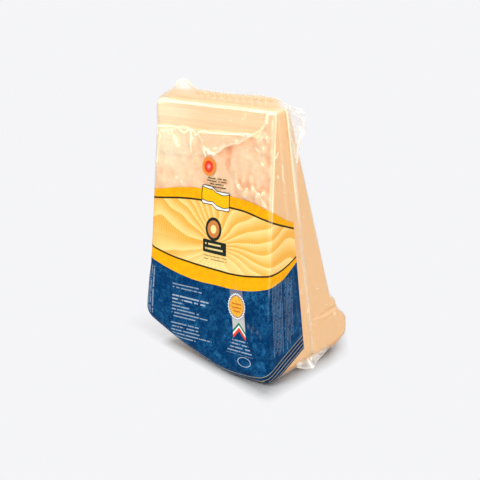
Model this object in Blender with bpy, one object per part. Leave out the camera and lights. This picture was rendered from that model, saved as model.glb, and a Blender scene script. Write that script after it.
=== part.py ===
# A vacuum-packed wedge of hard cheese, stood on its rind with the cut tip of the sector upwards.
# X runs along the pack's front, Y away from it, Z up. The origin is at the middle of the base.
import math

import bmesh
import bpy
from mathutils import Vector

MM = 0.001

# The wedge, a narrow sector of a wheel: its front and back are cut towards the wheel's middle,
# its right side is the cut across the wheel, and its left side is the wheel's own flat side
HEIGHT = 188 * MM
TOP_DEPTH = 18 * MM
FOOT_DEPTH = 96 * MM
FRONT_LEAN = math.radians(4.5)
RIGHT_X = 50 * MM
LEFT_X_AT_TOP = -54 * MM
LEFT_FLARE = math.radians(2.6)
FLARE_FOOT = 48 * MM

# Roundings of its edges under the film
LEFT_EDGE_RADIUS = 7.5 * MM
RIGHT_EDGE_RADIUS = 3.5 * MM
TOP_EDGE_RADIUS = 3.5 * MM
FOOT_EDGE_RADIUS = 6.5 * MM
FOOT_EDGE_HEIGHT = 22 * MM
TOP_EDGE_ZONE = 13 * MM
LEFT_EDGE_SHARE = 1 / 3

# The rind it stands on: the barrel of the wheel rises to the left, and its arc to front and back
BARREL_START_X = 16 * MM
BARREL_RISE = 26.7 * MM
BARREL_RUN = 72 * MM
BARREL_POWER = 1.35
ARC_RADIUS = 110 * MM
SETTLED = 7 * MM
LIFT_FADE_HEIGHT = 74 * MM

# The crust stands proud of the back cut along its foot
CRUST_LEDGE = 5 * MM
CRUST_LEDGE_TOP = 44 * MM
CRUST_LEDGE_SPAN = 5 * MM
CRUST_SWELL = 7.5 * MM
CRUST_SWELL_TOP = 36 * MM
CRUST_SWELL_SPAN = 20 * MM
CRUST_TUCK = 3 * MM
CRUST_TUCK_TOP = 16 * MM
CRUST_UNEVEN = 0.08
CRUST_WAVE = 17 * MM
CRUST_WAVE_START = 0.6
CRUST_EDGE_SHARE = 2 / 3

# On the right side the crust's edge is a crack, and the crust stands proud below it
CRACK_HEIGHT = 39 * MM
CRACK_DEPTH = 0.9 * MM
CRACK_STEP = 2 * MM
CRACK_FRONT_Y = 6 * MM
CRACK_FADE = 8 * MM
CRACK_SWAY = 0.8 * MM
CRACK_WAVE = 5 * MM

# Relief of the front: a smoothly cut band under the top, and the broken face below its ledge
BAND_DEPTH = 1.5 * MM
BAND_FOOT = 169.5 * MM
BAND_RIGHT_X = 41.5 * MM
BAND_STEP = 1.6 * MM
BAND_TOP_MARGIN = 3 * MM
LEDGE_RISE = 1.2 * MM
LEDGE_RISE_FROM = -15 * MM
LEDGE_RISE_RUN = 20 * MM
LEDGE_SCALLOP_RUN = 12 * MM
# Scallops of the ledge: (height, length of a wave over two pi, start)
LEDGE_WAVES = ((0.9 * MM, 5.3 * MM, 0.0), (0.6 * MM, 2.4 * MM, 1.0))
SHELF_PROUD = 1.6 * MM
SHELF_DROP = 6 * MM
SHELF_STEP = 3 * MM
SHELF_RIGHT_X = 32 * MM
SHELF_FADE = 4 * MM
PLATEAU_PROUD = 1.8 * MM
PLATEAU_LEFT_X = 14.5 * MM
PLATEAU_STEP = 2.5 * MM
PLATEAU_RIGHT_X = 40 * MM
PLATEAU_FADE = 8 * MM
PLATEAU_FOOT = 136 * MM
PLATEAU_FOOT_FADE = 14 * MM
PLATEAU_TOP = 160 * MM
PLATEAU_TOP_FADE = 6 * MM
HOLLOW_DEPTH = 4.2 * MM
HOLLOW_AT = (9 * MM, 155 * MM)
HOLLOW_RADII = (9 * MM, 11 * MM)
HOLLOW_FLOOR = 0.25
HOLLOW_UNDER_PLATEAU = 0.3
# Lumps and dents of the broken face: (x, z, radius along x, radius along z, height)
LUMPS = (
    (21.0, 137.0, 5.0, 8.0, 2.0),
    (30.0, 132.0, 4.5, 9.0, 2.2),
    (39.0, 127.0, 4.5, 8.0, 1.6),
    (-18.0, 161.0, 5.0, 8.0, 1.1),
    (-33.0, 157.0, 6.0, 10.0, 1.2),
    (-47.0, 146.0, 5.0, 13.0, -1.3),
    (-30.0, 125.0, 14.0, 12.0, -0.8),
    (-6.0, 133.0, 9.0, 10.0, -1.0),
    (4.0, 100.0, 22.0, 14.0, 0.6),
    (-28.0, 60.0, 16.0, 15.0, 0.7),
    (24.0, 44.0, 14.0, 17.0, -0.6),
)
# The relief fades towards the rounded edges
RELIEF_LEFT_MARGIN = 9 * MM
RELIEF_RIGHT_MARGIN = 4 * MM

# The film's seam stands out of the wedge all round, in one leaning plane
SEAM_THICKNESS = 1.2 * MM
SEAM_Y_AT_TOP = -20.5 * MM
SEAM_LEAN = 0.165
RIGHT_RIDGE = 1.6 * MM
LEFT_RIDGE = 2.5 * MM
FOOT_FIN = 1.5 * MM
FIN_CLEAR = 0.6 * MM
LEFT_RIDGE_HEIGHTS = (52, 90, 130, 160)
FOOT_FIN_PLACES = (24, 8, -4, -14, -24, -34, -44, -52)
# Corners of its top edge and its two upper ears, (x, z), from the left ear to the foot of the right one
TOP_FIN = (
    (-57.5, 176.0),
    (-62.0, 183.0),
    (-54.0, 190.5),
    (-41.0, 195.5),
    (-35.5, 199.5),
    (-33.0, 202.0),
    (-29.0, 197.0),
    (-23.0, 195.0),
    (5.0, 194.5),
    (30.0, 195.5),
    (48.0, 194.0),
    (52.5, 190.0),
    (63.0, 189.0),
    (65.0, 180.0),
    (64.0, 174.5),
    (60.5, 168.5),
    (57.0, 161.0),
    (54.0, 150.0),
    (52.4, 135.0),
)
RIGHT_RIDGE_HEIGHTS = (118, 6)

# The lower right ear is a skirt of film from the right side's foot to the ground: (y, how far it reaches)
SKIRT_TOP = 8.5 * MM
SKIRT = ((-12.0, 0.0), (-7.0, 3.0), (-1.0, 6.5), (5.0, 5.0), (11.0, 2.8), (22.0, 1.6), (40.0, 0.0))
SKIRT_ROOT = 8 * MM
SKIRT_CLEAR = 0.3 * MM
SKIRT_PROUD = 0.6 * MM

# Steps along each direction, between the roundings and across one rounding
STEPS_X, STEPS_Y, STEPS_Z = 40, 13, 54
STEPS_ROUND = 3
ROUND_SHARE = 0.21
KEPT_TRIANGLES = 0.5


def smooth(t):
    """0 below 0, 1 above 1, and a soft S between."""
    t = min(max(t, 0.0), 1.0)
    return t * t * (3 - 2 * t)


def bell(distance):
    """1 at distance 0, falling softly to 0 at distance 1."""
    return smooth(1 - distance)


def back_lean():
    run = FOOT_DEPTH - TOP_DEPTH - HEIGHT * math.tan(FRONT_LEAN)
    return math.atan(run / HEIGHT)


def front_y(z):
    return -FOOT_DEPTH / 2 + z * math.tan(FRONT_LEAN)


def back_y(z):
    return FOOT_DEPTH / 2 - z * math.tan(back_lean())


def left_x(z):
    return LEFT_X_AT_TOP - (HEIGHT - max(z, FLARE_FOOT)) * math.tan(LEFT_FLARE)


def base_lift(x, y):
    """How far the rind is above the ground at (x, y); it is flat where the pack has settled."""
    run = max(BARREL_START_X - x, 0.0) / BARREL_RUN
    barrel = BARREL_RISE * run**BARREL_POWER
    arc = y * y / (2 * ARC_RADIUS)
    return max(barrel + arc - SETTLED, 0.0)


def edge_radius(u, w):
    """Rounding at share u from left to right and w from foot to top."""
    radius = LEFT_EDGE_RADIUS + (RIGHT_EDGE_RADIUS - LEFT_EDGE_RADIUS) * smooth(u)
    top = smooth(1 - (1 - w) * HEIGHT / TOP_EDGE_ZONE) * smooth(u / LEFT_EDGE_SHARE)
    radius += (TOP_EDGE_RADIUS - radius) * top
    foot = 1 - smooth(w * HEIGHT / FOOT_EDGE_HEIGHT)
    return radius + (FOOT_EDGE_RADIUS - radius) * foot


def ledge_height(x):
    """Height of the ledge under the cut band: scalloped, and a little lower at its left."""
    wave = sum(tall * math.sin(x / length + start) for tall, length, start in LEDGE_WAVES)
    rise = LEDGE_RISE * smooth((x - LEDGE_RISE_FROM) / LEDGE_RISE_RUN)
    return BAND_FOOT + rise + wave * smooth(-x / LEDGE_SCALLOP_RUN)


def front_relief(x, z):
    """How far the front stands out of its plane at (x, z)."""
    ledge = ledge_height(x)
    above_ledge = smooth((z - ledge) / BAND_STEP + 0.5)
    in_band = above_ledge * smooth((BAND_RIGHT_X - x) / BAND_STEP + 0.5)
    in_band *= smooth((HEIGHT - z) / BAND_TOP_MARGIN)
    shelf = smooth((z - ledge + SHELF_DROP) / SHELF_STEP) * (1 - above_ledge)
    shelf *= smooth((SHELF_RIGHT_X - x) / SHELF_FADE)
    plateau = smooth((x - PLATEAU_LEFT_X) / PLATEAU_STEP)
    plateau *= smooth((z - PLATEAU_FOOT) / PLATEAU_FOOT_FADE)
    plateau *= 1 - smooth((z - PLATEAU_TOP) / PLATEAU_TOP_FADE)
    plateau *= 1 - smooth((x - PLATEAU_RIGHT_X) / PLATEAU_FADE)
    off_x = (x - HOLLOW_AT[0]) / HOLLOW_RADII[0]
    off_z = (z - HOLLOW_AT[1]) / HOLLOW_RADII[1]
    hollow = bell(math.hypot(off_x, off_z) - HOLLOW_FLOOR)
    hollow *= 1 - (1 - HOLLOW_UNDER_PLATEAU) * plateau
    height = SHELF_PROUD * shelf + PLATEAU_PROUD * plateau
    height -= HOLLOW_DEPTH * hollow + BAND_DEPTH * in_band
    for lump_x, lump_z, wide, tall, proud in LUMPS:
        off = math.hypot((x / MM - lump_x) / wide, (z / MM - lump_z) / tall)
        height += proud * MM * bell(off)
    return height


def crust_swell(x, z):
    """How far the crust stands out of the back's plane at height z."""
    uneven = 1 + CRUST_UNEVEN * math.sin(x / CRUST_WAVE + CRUST_WAVE_START)
    ledge = CRUST_LEDGE * smooth((CRUST_LEDGE_TOP - z) / CRUST_LEDGE_SPAN)
    swell = CRUST_SWELL * smooth((CRUST_SWELL_TOP - z) / CRUST_SWELL_SPAN)
    tuck = CRUST_TUCK * smooth((CRUST_TUCK_TOP - z) / CRUST_TUCK_TOP)
    return (ledge + swell) * uneven - tuck


def right_relief(y, z):
    """The right side steps out below the crack that marks the crust."""
    line = CRACK_HEIGHT + CRACK_SWAY * math.sin(y / CRACK_WAVE)
    below = smooth((line - z) / CRACK_STEP)
    return CRACK_DEPTH * below * smooth((y - CRACK_FRONT_Y) / CRACK_FADE)


def grid_line(share):
    """(place between the roundings, slope of the rounding) for a share of the way along one direction."""
    if share < ROUND_SHARE:
        return 0.0, -math.tan(math.pi / 4 * (ROUND_SHARE - share) / ROUND_SHARE)
    if share > 1 - ROUND_SHARE:
        return 1.0, math.tan(math.pi / 4 * (share - 1 + ROUND_SHARE) / ROUND_SHARE)
    return (share - ROUND_SHARE) / (1 - 2 * ROUND_SHARE), 0.0


def shares(steps):
    """Shares of the grid's lines: evenly spaced round the edges, and evenly along the face."""
    first = [ROUND_SHARE * i / STEPS_ROUND for i in range(STEPS_ROUND)]
    along = [ROUND_SHARE + (1 - 2 * ROUND_SHARE) * i / steps for i in range(steps + 1)]
    last = [1 - share for share in reversed(first)]
    return first + along + last


def wedge_point(sx, sy, sz):
    """Point of the wedge's surface for a point of a unit cube's surface."""
    u, slope_x = grid_line(sx)
    v, slope_y = grid_line(sy)
    w, slope_z = grid_line(sz)
    radius = edge_radius(u, w)
    front_normal = Vector((0, -math.cos(FRONT_LEAN), math.sin(FRONT_LEAN)))
    back_normal = Vector((0, math.cos(back_lean()), math.sin(back_lean())))
    left_normal = Vector((-math.cos(LEFT_FLARE), 0, math.sin(LEFT_FLARE)))
    normal = abs(slope_y) * (front_normal if slope_y < 0 else back_normal)
    normal += abs(slope_x) * (left_normal if slope_x < 0 else Vector((1, 0, 0)))
    normal += Vector((0, 0, slope_z))
    normal.normalize()
    z = radius + w * (HEIGHT - 2 * radius)
    near_y = front_y(z) + radius / math.cos(FRONT_LEAN)
    far_y = back_y(z) - radius / math.cos(back_lean())
    near_x = left_x(z) + radius / math.cos(LEFT_FLARE)
    inner = Vector((near_x + u * (RIGHT_X - radius - near_x), near_y + v * (far_y - near_y), z))
    point = inner + radius * normal
    to_front = max(-normal.y, 0.0) ** 2
    to_back = max(normal.y, 0.0) ** 2
    to_right = max(normal.x, 0.0) ** 4
    x, y, z = point
    away_from_edges = smooth((x - left_x(z)) / RELIEF_LEFT_MARGIN)
    away_from_edges *= smooth((RIGHT_X - x) / RELIEF_RIGHT_MARGIN)
    point += front_normal * front_relief(x, z) * to_front * away_from_edges
    near_back = smooth((v - CRUST_EDGE_SHARE) / (1 - CRUST_EDGE_SHARE))
    point.y += crust_swell(x, z) * max(to_back, near_back)
    point.x += right_relief(y, z) * to_right
    point.z += base_lift(x, y) * (1 - smooth((z - FOOT_EDGE_RADIUS) / LIFT_FADE_HEIGHT))
    return point


def cube_grid():
    """A cube whose faces are cut by the grid's lines, as a bmesh with points from 0 to 1."""
    grid = bmesh.new()
    bmesh.ops.create_cube(grid, size=1.0)
    bmesh.ops.translate(grid, verts=grid.verts, vec=(0.5, 0.5, 0.5))
    for axis, steps in enumerate((STEPS_X, STEPS_Y, STEPS_Z)):
        across = Vector((0, 0, 0))
        across[axis] = 1.0
        for share in shares(steps)[1:-1]:
            geometry = grid.verts[:] + grid.edges[:] + grid.faces[:]
            bmesh.ops.bisect_plane(grid, geom=geometry, plane_co=across * share, plane_no=across)
    return grid


def paint(name, colour, roughness):
    material = bpy.data.materials.new(name)
    material.use_nodes = True
    shader = material.node_tree.nodes["Principled BSDF"]
    shader.inputs["Base Color"].default_value = (*colour, 1)
    shader.inputs["Roughness"].default_value = roughness
    shader.inputs["Metallic"].default_value = 0.0
    return material


def add_object(name, mesh, collection):
    obj = bpy.data.objects.new(name, mesh)
    collection.objects.link(obj)
    return obj


def make_wedge(collection):
    grid = cube_grid()
    for vert in grid.verts:
        vert.co = wedge_point(*vert.co)
    bmesh.ops.recalc_face_normals(grid, faces=grid.faces)
    mesh = bpy.data.meshes.new("packed_wedge")
    grid.to_mesh(mesh)
    grid.free()
    return add_object("packed_wedge", mesh, collection)


def seam_outline():
    """Corners of the seam's plate, (x, z), clockwise from the foot of its left side."""
    outline = [(left_x(z * MM) - LEFT_RIDGE, z * MM) for z in LEFT_RIDGE_HEIGHTS]
    outline += [(x * MM, z * MM) for x, z in TOP_FIN]
    outline += [(RIGHT_X + RIGHT_RIDGE, z * MM) for z in RIGHT_RIDGE_HEIGHTS]
    for x in FOOT_FIN_PLACES:
        lift = base_lift(x * MM, seam_y(0.0))
        outline.append((x * MM, max(lift - FOOT_FIN, FIN_CLEAR)))
    return outline


def seam_y(z):
    return SEAM_Y_AT_TOP + SEAM_LEAN * (HEIGHT - z)


def make_seam(collection):
    """The welded film of the seam, a thin plate through the whole wedge."""
    half = SEAM_THICKNESS / 2
    plate = bmesh.new()
    rows = []
    for side in (-half, half):
        rows.append([plate.verts.new((x, seam_y(z) + side, z)) for x, z in seam_outline()])
    near, far = rows
    plate.faces.new(near)
    plate.faces.new(reversed(far))
    for i, vert in enumerate(near):
        j = (i + 1) % len(near)
        plate.faces.new((vert, far[i], far[j], near[j]))
    bmesh.ops.recalc_face_normals(plate, faces=plate.faces)
    mesh = bpy.data.meshes.new("seam_plate")
    plate.to_mesh(mesh)
    plate.free()
    seam = add_object("seam_plate", mesh, collection)
    seam.hide_render = True
    seam.display_type = "WIRE"
    return seam


def make_skirt(collection):
    """The folded film at the foot of the right side: a row of sloping sections, joined front to back."""
    skirt = bmesh.new()
    rows = []
    for y, reach in SKIRT:
        corners = (
            (RIGHT_X - SKIRT_ROOT, SKIRT_CLEAR),
            (RIGHT_X - SKIRT_PROUD + reach * MM, SKIRT_CLEAR),
            (RIGHT_X + SKIRT_PROUD, SKIRT_TOP),
            (RIGHT_X - SKIRT_ROOT, SKIRT_TOP),
        )
        rows.append([skirt.verts.new((x, y * MM, z)) for x, z in corners])
    skirt.faces.new(rows[0])
    skirt.faces.new(reversed(rows[-1]))
    for near, far in zip(rows, rows[1:]):
        for i, vert in enumerate(near):
            j = (i + 1) % len(near)
            skirt.faces.new((vert, far[i], far[j], near[j]))
    bmesh.ops.recalc_face_normals(skirt, faces=skirt.faces)
    mesh = bpy.data.meshes.new("film_skirt")
    skirt.to_mesh(mesh)
    skirt.free()
    film = add_object("film_skirt", mesh, collection)
    film.hide_render = True
    film.display_type = "WIRE"
    return film


def join(target, tool):
    """Joins tool to target for good, and removes tool."""
    modifier = target.modifiers.new("Join", "BOOLEAN")
    modifier.operation = "UNION"
    modifier.object = tool
    graph = bpy.context.evaluated_depsgraph_get()
    graph.update()
    joined = bpy.data.meshes.new_from_object(target.evaluated_get(graph))
    target.modifiers.clear()
    target.data = joined
    bpy.data.objects.remove(tool)


def thin_out(target, share):
    """Fewer triangles where the surface is even."""
    modifier = target.modifiers.new("Thin out", "DECIMATE")
    modifier.ratio = share
    graph = bpy.context.evaluated_depsgraph_get()
    graph.update()
    thinned = bpy.data.meshes.new_from_object(target.evaluated_get(graph))
    target.modifiers.clear()
    target.data = thinned


def centre(target):
    """Puts the origin at the middle of the base of the object's box."""
    points = [vert.co for vert in target.data.vertices]
    middle = Vector((0, 0, 0))
    for axis in (0, 1):
        values = [point[axis] for point in points]
        middle[axis] = (min(values) + max(values)) / 2
    middle.z = min(point.z for point in points)
    for vert in target.data.vertices:
        vert.co -= middle
    return middle


def main():
    for obj in list(bpy.data.objects):
        bpy.data.objects.remove(obj)
    parts = bpy.data.collections.new("cheese_pack")
    helpers = bpy.data.collections.new("cutters")
    for collection in (parts, helpers):
        bpy.context.scene.collection.children.link(collection)
    wedge = make_wedge(parts)
    join(wedge, make_seam(helpers))
    join(wedge, make_skirt(helpers))
    thin_out(wedge, KEPT_TRIANGLES)
    middle = centre(wedge)
    print("moved by", [round(-value / MM, 2) for value in middle], "mm")
    wedge.data.shade_smooth()
    wedge.data.set_sharp_from_angle(angle=math.radians(40))
    wedge.data.materials.clear()
    wedge.data.materials.append(paint("pale_cheese_in_film", (0.86, 0.62, 0.38), 0.3))


main()
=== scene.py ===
import math

import bmesh
import bpy
import numpy as np
from mathutils import Matrix, Vector


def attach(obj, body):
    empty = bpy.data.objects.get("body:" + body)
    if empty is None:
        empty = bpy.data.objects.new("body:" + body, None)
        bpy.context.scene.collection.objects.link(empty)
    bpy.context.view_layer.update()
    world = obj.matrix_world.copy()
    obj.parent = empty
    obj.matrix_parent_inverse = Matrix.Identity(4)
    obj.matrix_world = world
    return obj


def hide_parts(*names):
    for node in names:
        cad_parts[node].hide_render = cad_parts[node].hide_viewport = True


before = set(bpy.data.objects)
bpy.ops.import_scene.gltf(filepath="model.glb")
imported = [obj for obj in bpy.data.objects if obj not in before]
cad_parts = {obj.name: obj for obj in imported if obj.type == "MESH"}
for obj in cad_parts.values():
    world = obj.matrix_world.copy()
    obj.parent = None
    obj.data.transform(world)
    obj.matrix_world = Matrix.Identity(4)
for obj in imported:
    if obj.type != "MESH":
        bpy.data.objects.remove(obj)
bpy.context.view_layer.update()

# Everything below is drawn in millimetres round the wedge's own middle line,
# and shifted once to the CAD's origin
mm = 0.001
drawingShift = np.array([-1.16, -4.92, 0.0])


def softStep(t):
    t = np.clip(t, 0.0, 1.0)
    return t * t * (3 - 2 * t)


def bell(distance):
    # 1 in the middle, 0 from a distance of 1
    return softStep(1 - distance)


def softNoise(x, y, seed):
    # smooth noise from -1 to 1, with one value for each whole x and y
    grid = np.random.default_rng(seed).uniform(-1, 1, (64, 64))
    cellX = np.floor(x).astype(int)
    cellY = np.floor(y).astype(int)
    shareX = softStep(x - cellX)
    shareY = softStep(y - cellY)

    def row(step):
        left = grid[cellX % 64, (cellY + step) % 64]
        right = grid[(cellX + 1) % 64, (cellY + step) % 64]
        return left + (right - left) * shareX

    return row(0) + (row(1) - row(0)) * shareY


def pathDistance(x, z, path):
    # how far each point is from a line of straight runs
    nearest = np.full(np.shape(x), 1e9)
    for (startX, startZ), (endX, endZ) in zip(path, path[1:]):
        runX, runZ = endX - startX, endZ - startZ
        share = ((x - startX) * runX + (z - startZ) * runZ) / (runX**2 + runZ**2)
        share = np.clip(share, 0, 1)
        nearest = np.minimum(nearest, np.hypot(x - startX - share * runX, z - startZ - share * runZ))
    return nearest


# Shape of the wedge, as the CAD has it

wedge = {
    "height": 188.0,
    "topDepth": 18.0,
    "footDepth": 96.0,
    "frontLean": math.radians(4.5),
    "rightX": 50.0,
    "leftXAtTop": -54.0,
    "leftFlare": math.radians(2.6),
    "flareFoot": 48.0,
    "leftEdgeRadius": 7.5,
    "rightEdgeRadius": 3.5,
    "topEdgeRadius": 3.5,
    "footEdgeRadius": 6.5,
    "footEdgeHeight": 22.0,
    "topEdgeZone": 13.0,
    "barrelStart": 16.0,
    "barrelRise": 26.7,
    "barrelRun": 72.0,
    "barrelPower": 1.35,
    "arcRadius": 110.0,
    "settled": 7.0,
    "liftFade": 74.0,
    "stepsRound": 5,
}
wedge["backLean"] = math.atan(
    (wedge["footDepth"] - wedge["topDepth"] - wedge["height"] * math.tan(wedge["frontLean"]))
    / wedge["height"]
)

frontRelief = {
    "bandDepth": 0.9,
    "bandFoot": 169.5,
    "bandRight": 41.5,
    "bandStep": 1.3,
    "bandTopMargin": 3.0,
    "ledgeRise": 1.2,
    "ledgeWaves": ((0.9, 5.3, 0.0), (0.6, 2.4, 1.0)),
    "shelfProud": 1.1,
    "ridge": ((-60, 150), (-20, 151), (-8, 153.5), (4.2, 157.2), (9.9, 161.8), (15.6, 163.6), (21.3, 164.8),
              (26.9, 168.2), (31, 170.3), (60, 170.3)),
    "ridgeWave": 0.5,
    "ridgeWaveLength": 1.9,
    "shelfStep": 2.8,
    "shelfFrom": -14,
    "shelfFade": 8,
    "plateauProud": 1.4,
    "plateau": {
        "left": 13.4,
        "leftFade": 4,
        "wave": 1.5,
        "waveLength": 4.1,
        "foot": 136,
        "footFade": 14,
        "top": 157,
        "topFade": 6,
        "slope": 0.45,
        "slopeFrom": 15,
        "right": 40,
        "rightFade": 8,
    },
    "hollowDepth": 2.0,
    "hollowAt": (12.4, 158.6),
    "hollowRadii": (2.5, 4.8),
    "lumpy": 0.5,
    "lumpyWidth": 5.2,
    "lumpyHeight": 6.2,
    "lumpySeed": 61,
    "lumpyFrom": 118,
    "lumpyFade": 12,
    # each lump: x, z, half width, half height, how proud
    "lumps": (
        (12.6, 150.5, 4.6, 8.5, -0.9),
        (30.0, 134.0, 13.0, 12.0, 0.8),
        (19.9, 140.5, 2.8, 4.8, 0.9),
        (22.2, 134.6, 3.0, 5.0, 1.7),
        (26.2, 139.0, 2.8, 4.8, 1.6),
        (28.8, 132.0, 3.0, 5.4, 1.8),
        (32.5, 141.0, 2.8, 4.6, 1.0),
        (33.8, 134.2, 2.8, 5.4, 1.9),
        (38.2, 138.4, 2.8, 4.8, 1.0),
        (37.8, 129.6, 3.0, 5.4, 1.7),
        (42.4, 133.0, 2.8, 5.0, 1.5),
        (43.4, 125.6, 2.8, 5.0, 1.0),
        (37.4, 165.6, 3.0, 5.0, 1.0),
        (42.6, 161.5, 2.8, 5.5, 1.1),
        (45.2, 168.0, 2.6, 5.5, 0.9),
        (43.0, 151.0, 3.0, 6.0, 0.8),
        (-18.0, 161.0, 5.0, 8.0, 1.1),
        (-33.0, 157.0, 6.0, 10.0, 1.2),
        (-47.0, 146.0, 5.0, 13.0, -1.3),
        (-30.0, 125.0, 14.0, 12.0, -0.8),
        (-6.0, 133.0, 9.0, 10.0, -1.0),
        (4.0, 100.0, 22.0, 14.0, 0.6),
        (-28.0, 60.0, 16.0, 15.0, 0.7),
        (24.0, 44.0, 14.0, 17.0, -0.6),
    ),
    "leftMargin": 9.0,
    "rightMargin": 4.0,
}

# Fine lips and folds of the front film, where it whitens, and painted highlights where it catches the light:
# path of (x, z), height, half width, whiteness
frontFolds = (
    (
        ((-51.6, 168.7), (-47, 169.1), (-40.6, 170), (-30.3, 169.7), (-27.8, 167.7), (-25.2, 166.5),
         (-22.8, 168.5), (-18.4, 169.2), (-15.9, 168), (-15.2, 166.2), (-11.6, 168.9), (-7.9, 169.6),
         (-3, 169.1), (9, 169.7), (20.7, 170.6), (27.7, 171.4), (31.1, 170.8)),
        0.2, 0.55, 0.95,
    ),
    (
        ((31, 170.3), (26.9, 168.2), (21.3, 164.8), (15.6, 163.8), (9.9, 162), (4.2, 157.8), (0.6, 156)),
        0.15, 0.9, 0.5,
    ),
    (((15.6, 163.4), (9.9, 161.4), (4.2, 156.8), (-4.6, 154.6)), 0.1, 0.55, 0.75),
    (
        ((46, 186.5), (43.6, 186), (42.6, 181.8), (41.1, 178.1), (38.9, 175.1), (34.5, 172.8),
         (31.1, 171.1)),
        0.25, 0.7, 0.55,
    ),
    (((45.6, 187), (43.9, 184.8), (44, 180.5)), 0.3, 0.9, 0.95),
    (((-7.8, 159.2), (-5.4, 157.6), (-3.4, 157.9)), 0.2, 0.6, 1.4),
    (((-7.6, 157.6), (-6.4, 153.2)), 0.2, 0.7, 1.4),
    (((-3.2, 156.2), (0.8, 155.4)), 0.2, 1.1, 1.4),
    (((1.2, 158.6), (3.4, 159.6)), 0.15, 0.7, 0.7),
    (((19.4, 166.1), (20.5, 166.4)), 0.1, 0.7, 0.8),
    (((-32.6, 135.3), (-32.2, 134.9)), 0.1, 0.8, 0.9),
    (
        ((-51.6, 168.7), (-49.6, 165), (-51.5, 160.8), (-49.5, 155.2), (-50.7, 149.1), (-51.3, 143.1)),
        0.5, 0.7, 0.7,
    ),
    (((-49.6, 165), (-47.2, 162.5), (-48.6, 158)), 0.3, 0.6, 0.6),
    (((36.6, 170.8), (37.9, 172.2), (39.1, 176.7)), 0.2, 0.7, 0.5),
    (((40.3, 168.9), (43.5, 173.8), (44.8, 170.3), (46.2, 168.4)), 0.2, 0.7, 0.35),
    (((-36.7, 167.3), (-35.3, 162.6), (-30.1, 157.3)), 0.5, 0.9, 0.8),
    (((-33.4, 163.5), (-31.8, 160.5)), 0.3, 1.0, 0.8),
    (((-19.6, 168.1), (-18.3, 162.5), (-18.7, 154.8)), 0.5, 0.9, 0.7),
    (((-46.5, 166), (-41, 166.6), (-39, 164.5)), 0.3, 0.9, 0.55),
    (((-12.5, 166.5), (-9, 163.5)), 0.3, 0.9, 0.35),
    (((20.5, 140), (20.9, 137), (26.6, 133.9), (29, 130.4)), 0.4, 0.8, 0.35),
    (((33.4, 138), (37, 134.4), (40.5, 132.1), (44.1, 127), (46.5, 123.6)), 0.4, 0.8, 0.4),
    (((36.5, 163.3), (39.5, 160.8)), 0.2, 0.6, 0.8),
    (((41.6, 153.8), (42.6, 153.2)), 0.2, 0.7, 0.9),
    (((-27.5, 133.2), (-27.3, 132.4)), 0.2, 0.7, 0.6),
    (((24.5, 186.5), (25.6, 182.5), (23, 180)), 0.25, 0.6, 0.3),
    (((32.6, 41.6), (33.2, 40.4), (33.4, 39)), 0.2, 0.8, 0.3),
    (((35, 38.6), (36.4, 37.6)), 0.2, 0.6, 0.2),
    (((37.6, 39.8), (39.6, 38.6), (41.6, 37.2)), 0.2, 0.6, 0.22),
    (((43.8, 34.8), (44.6, 33.8)), 0.2, 0.6, 0.15),
    (((21.2, 67.2), (22.4, 66.8)), 0.1, 0.9, 0.35),
)

# The same where the front turns into the right side: path of (how far along the flat print, z), and the rest
cornerFolds = (
    (((51.4, 186.4), (51.2, 170), (51.1, 150), (50.9, 124), (50.5, 105)), 0.12, 0.55, 0.95),
    (((50.5, 105), (50.3, 80), (50.2, 66)), 0.12, 0.5, 0.6),
    (((48.6, 182), (48.7, 150), (48.6, 118), (48.5, 96)), 0.0, 1.3, 0.3),
    (((50.2, 66), (50.1, 48)), -0.1, 0.5, 0.1),
    (((41, 187.2), (47, 187.3), (51, 186.8)), 0.1, 0.9, 0.7),
)

# The same on the right side: path of (y, z), height, half width, whiteness
sideFolds = (
    (((-30.5, 160.9), (-32.9, 157.7)), 0.3, 0.55, 0.95),
    (((-26, 151.6), (-25.6, 146), (-25.4, 142.1), (-23.9, 139.9)), 0.25, 0.5, 0.8),
    (((-31.2, 145.2), (-30.6, 144.2)), 0.25, 0.7, 0.95),
    (((-33.3, 166.5), (-33.1, 165.2)), 0.2, 0.5, 0.9),
    (((-29, 186), (-28.5, 170), (-26.5, 155), (-24, 135), (-20, 110)), 0.2, 1.4, 0.12),
    (((10, 32.2), (18, 32), (28, 32.6), (40, 33)), 0.4, 1.0, 0.12),
    (((29.1, 29.3), (29.9, 29.5)), 0.1, 0.5, 0.5),
    (((10.3, 30.7), (11, 30.5)), 0.1, 0.5, 0.5),
    (((0.7, 42.6), (1.2, 42.3)), 0.1, 0.7, 0.8),
    (((-5.9, 57.9), (-5.4, 57.4)), 0.1, 0.7, 1.0),
    (((-15, 74), (-12, 50), (-8, 30), (-2, 12)), 0.2, 0.8, 0.1),
    (((17, 18), (18.4, 18.3)), 0.1, 0.5, 0.5),
)

crust = {
    "ledge": 5.0,
    "ledgeTop": 44.0,
    "ledgeSpan": 5.0,
    "swell": 7.5,
    "swellTop": 34.0,
    "swellSpan": 20.0,
    "tuck": 3.0,
    "tuckTop": 16.0,
    "crackHeight": 33.0,
    "crackDepth": 0.9,
    "crackStep": 2.0,
    "crackFront": 6.0,
    "crackFade": 8.0,
}

seam = {
    "yAtTop": -20.5,
    "lean": 0.155,
    "tentHeight": 1.1,
    "tentRun": 1.8,
}


def frontY(z):
    return -wedge["footDepth"] / 2 + z * math.tan(wedge["frontLean"])


def backY(z):
    return wedge["footDepth"] / 2 - z * math.tan(wedge["backLean"])


def leftX(z):
    fall = wedge["height"] - np.maximum(z, wedge["flareFoot"])
    return wedge["leftXAtTop"] - fall * math.tan(wedge["leftFlare"])


def seamY(z):
    return seam["yAtTop"] + seam["lean"] * (wedge["height"] - z)


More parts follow.
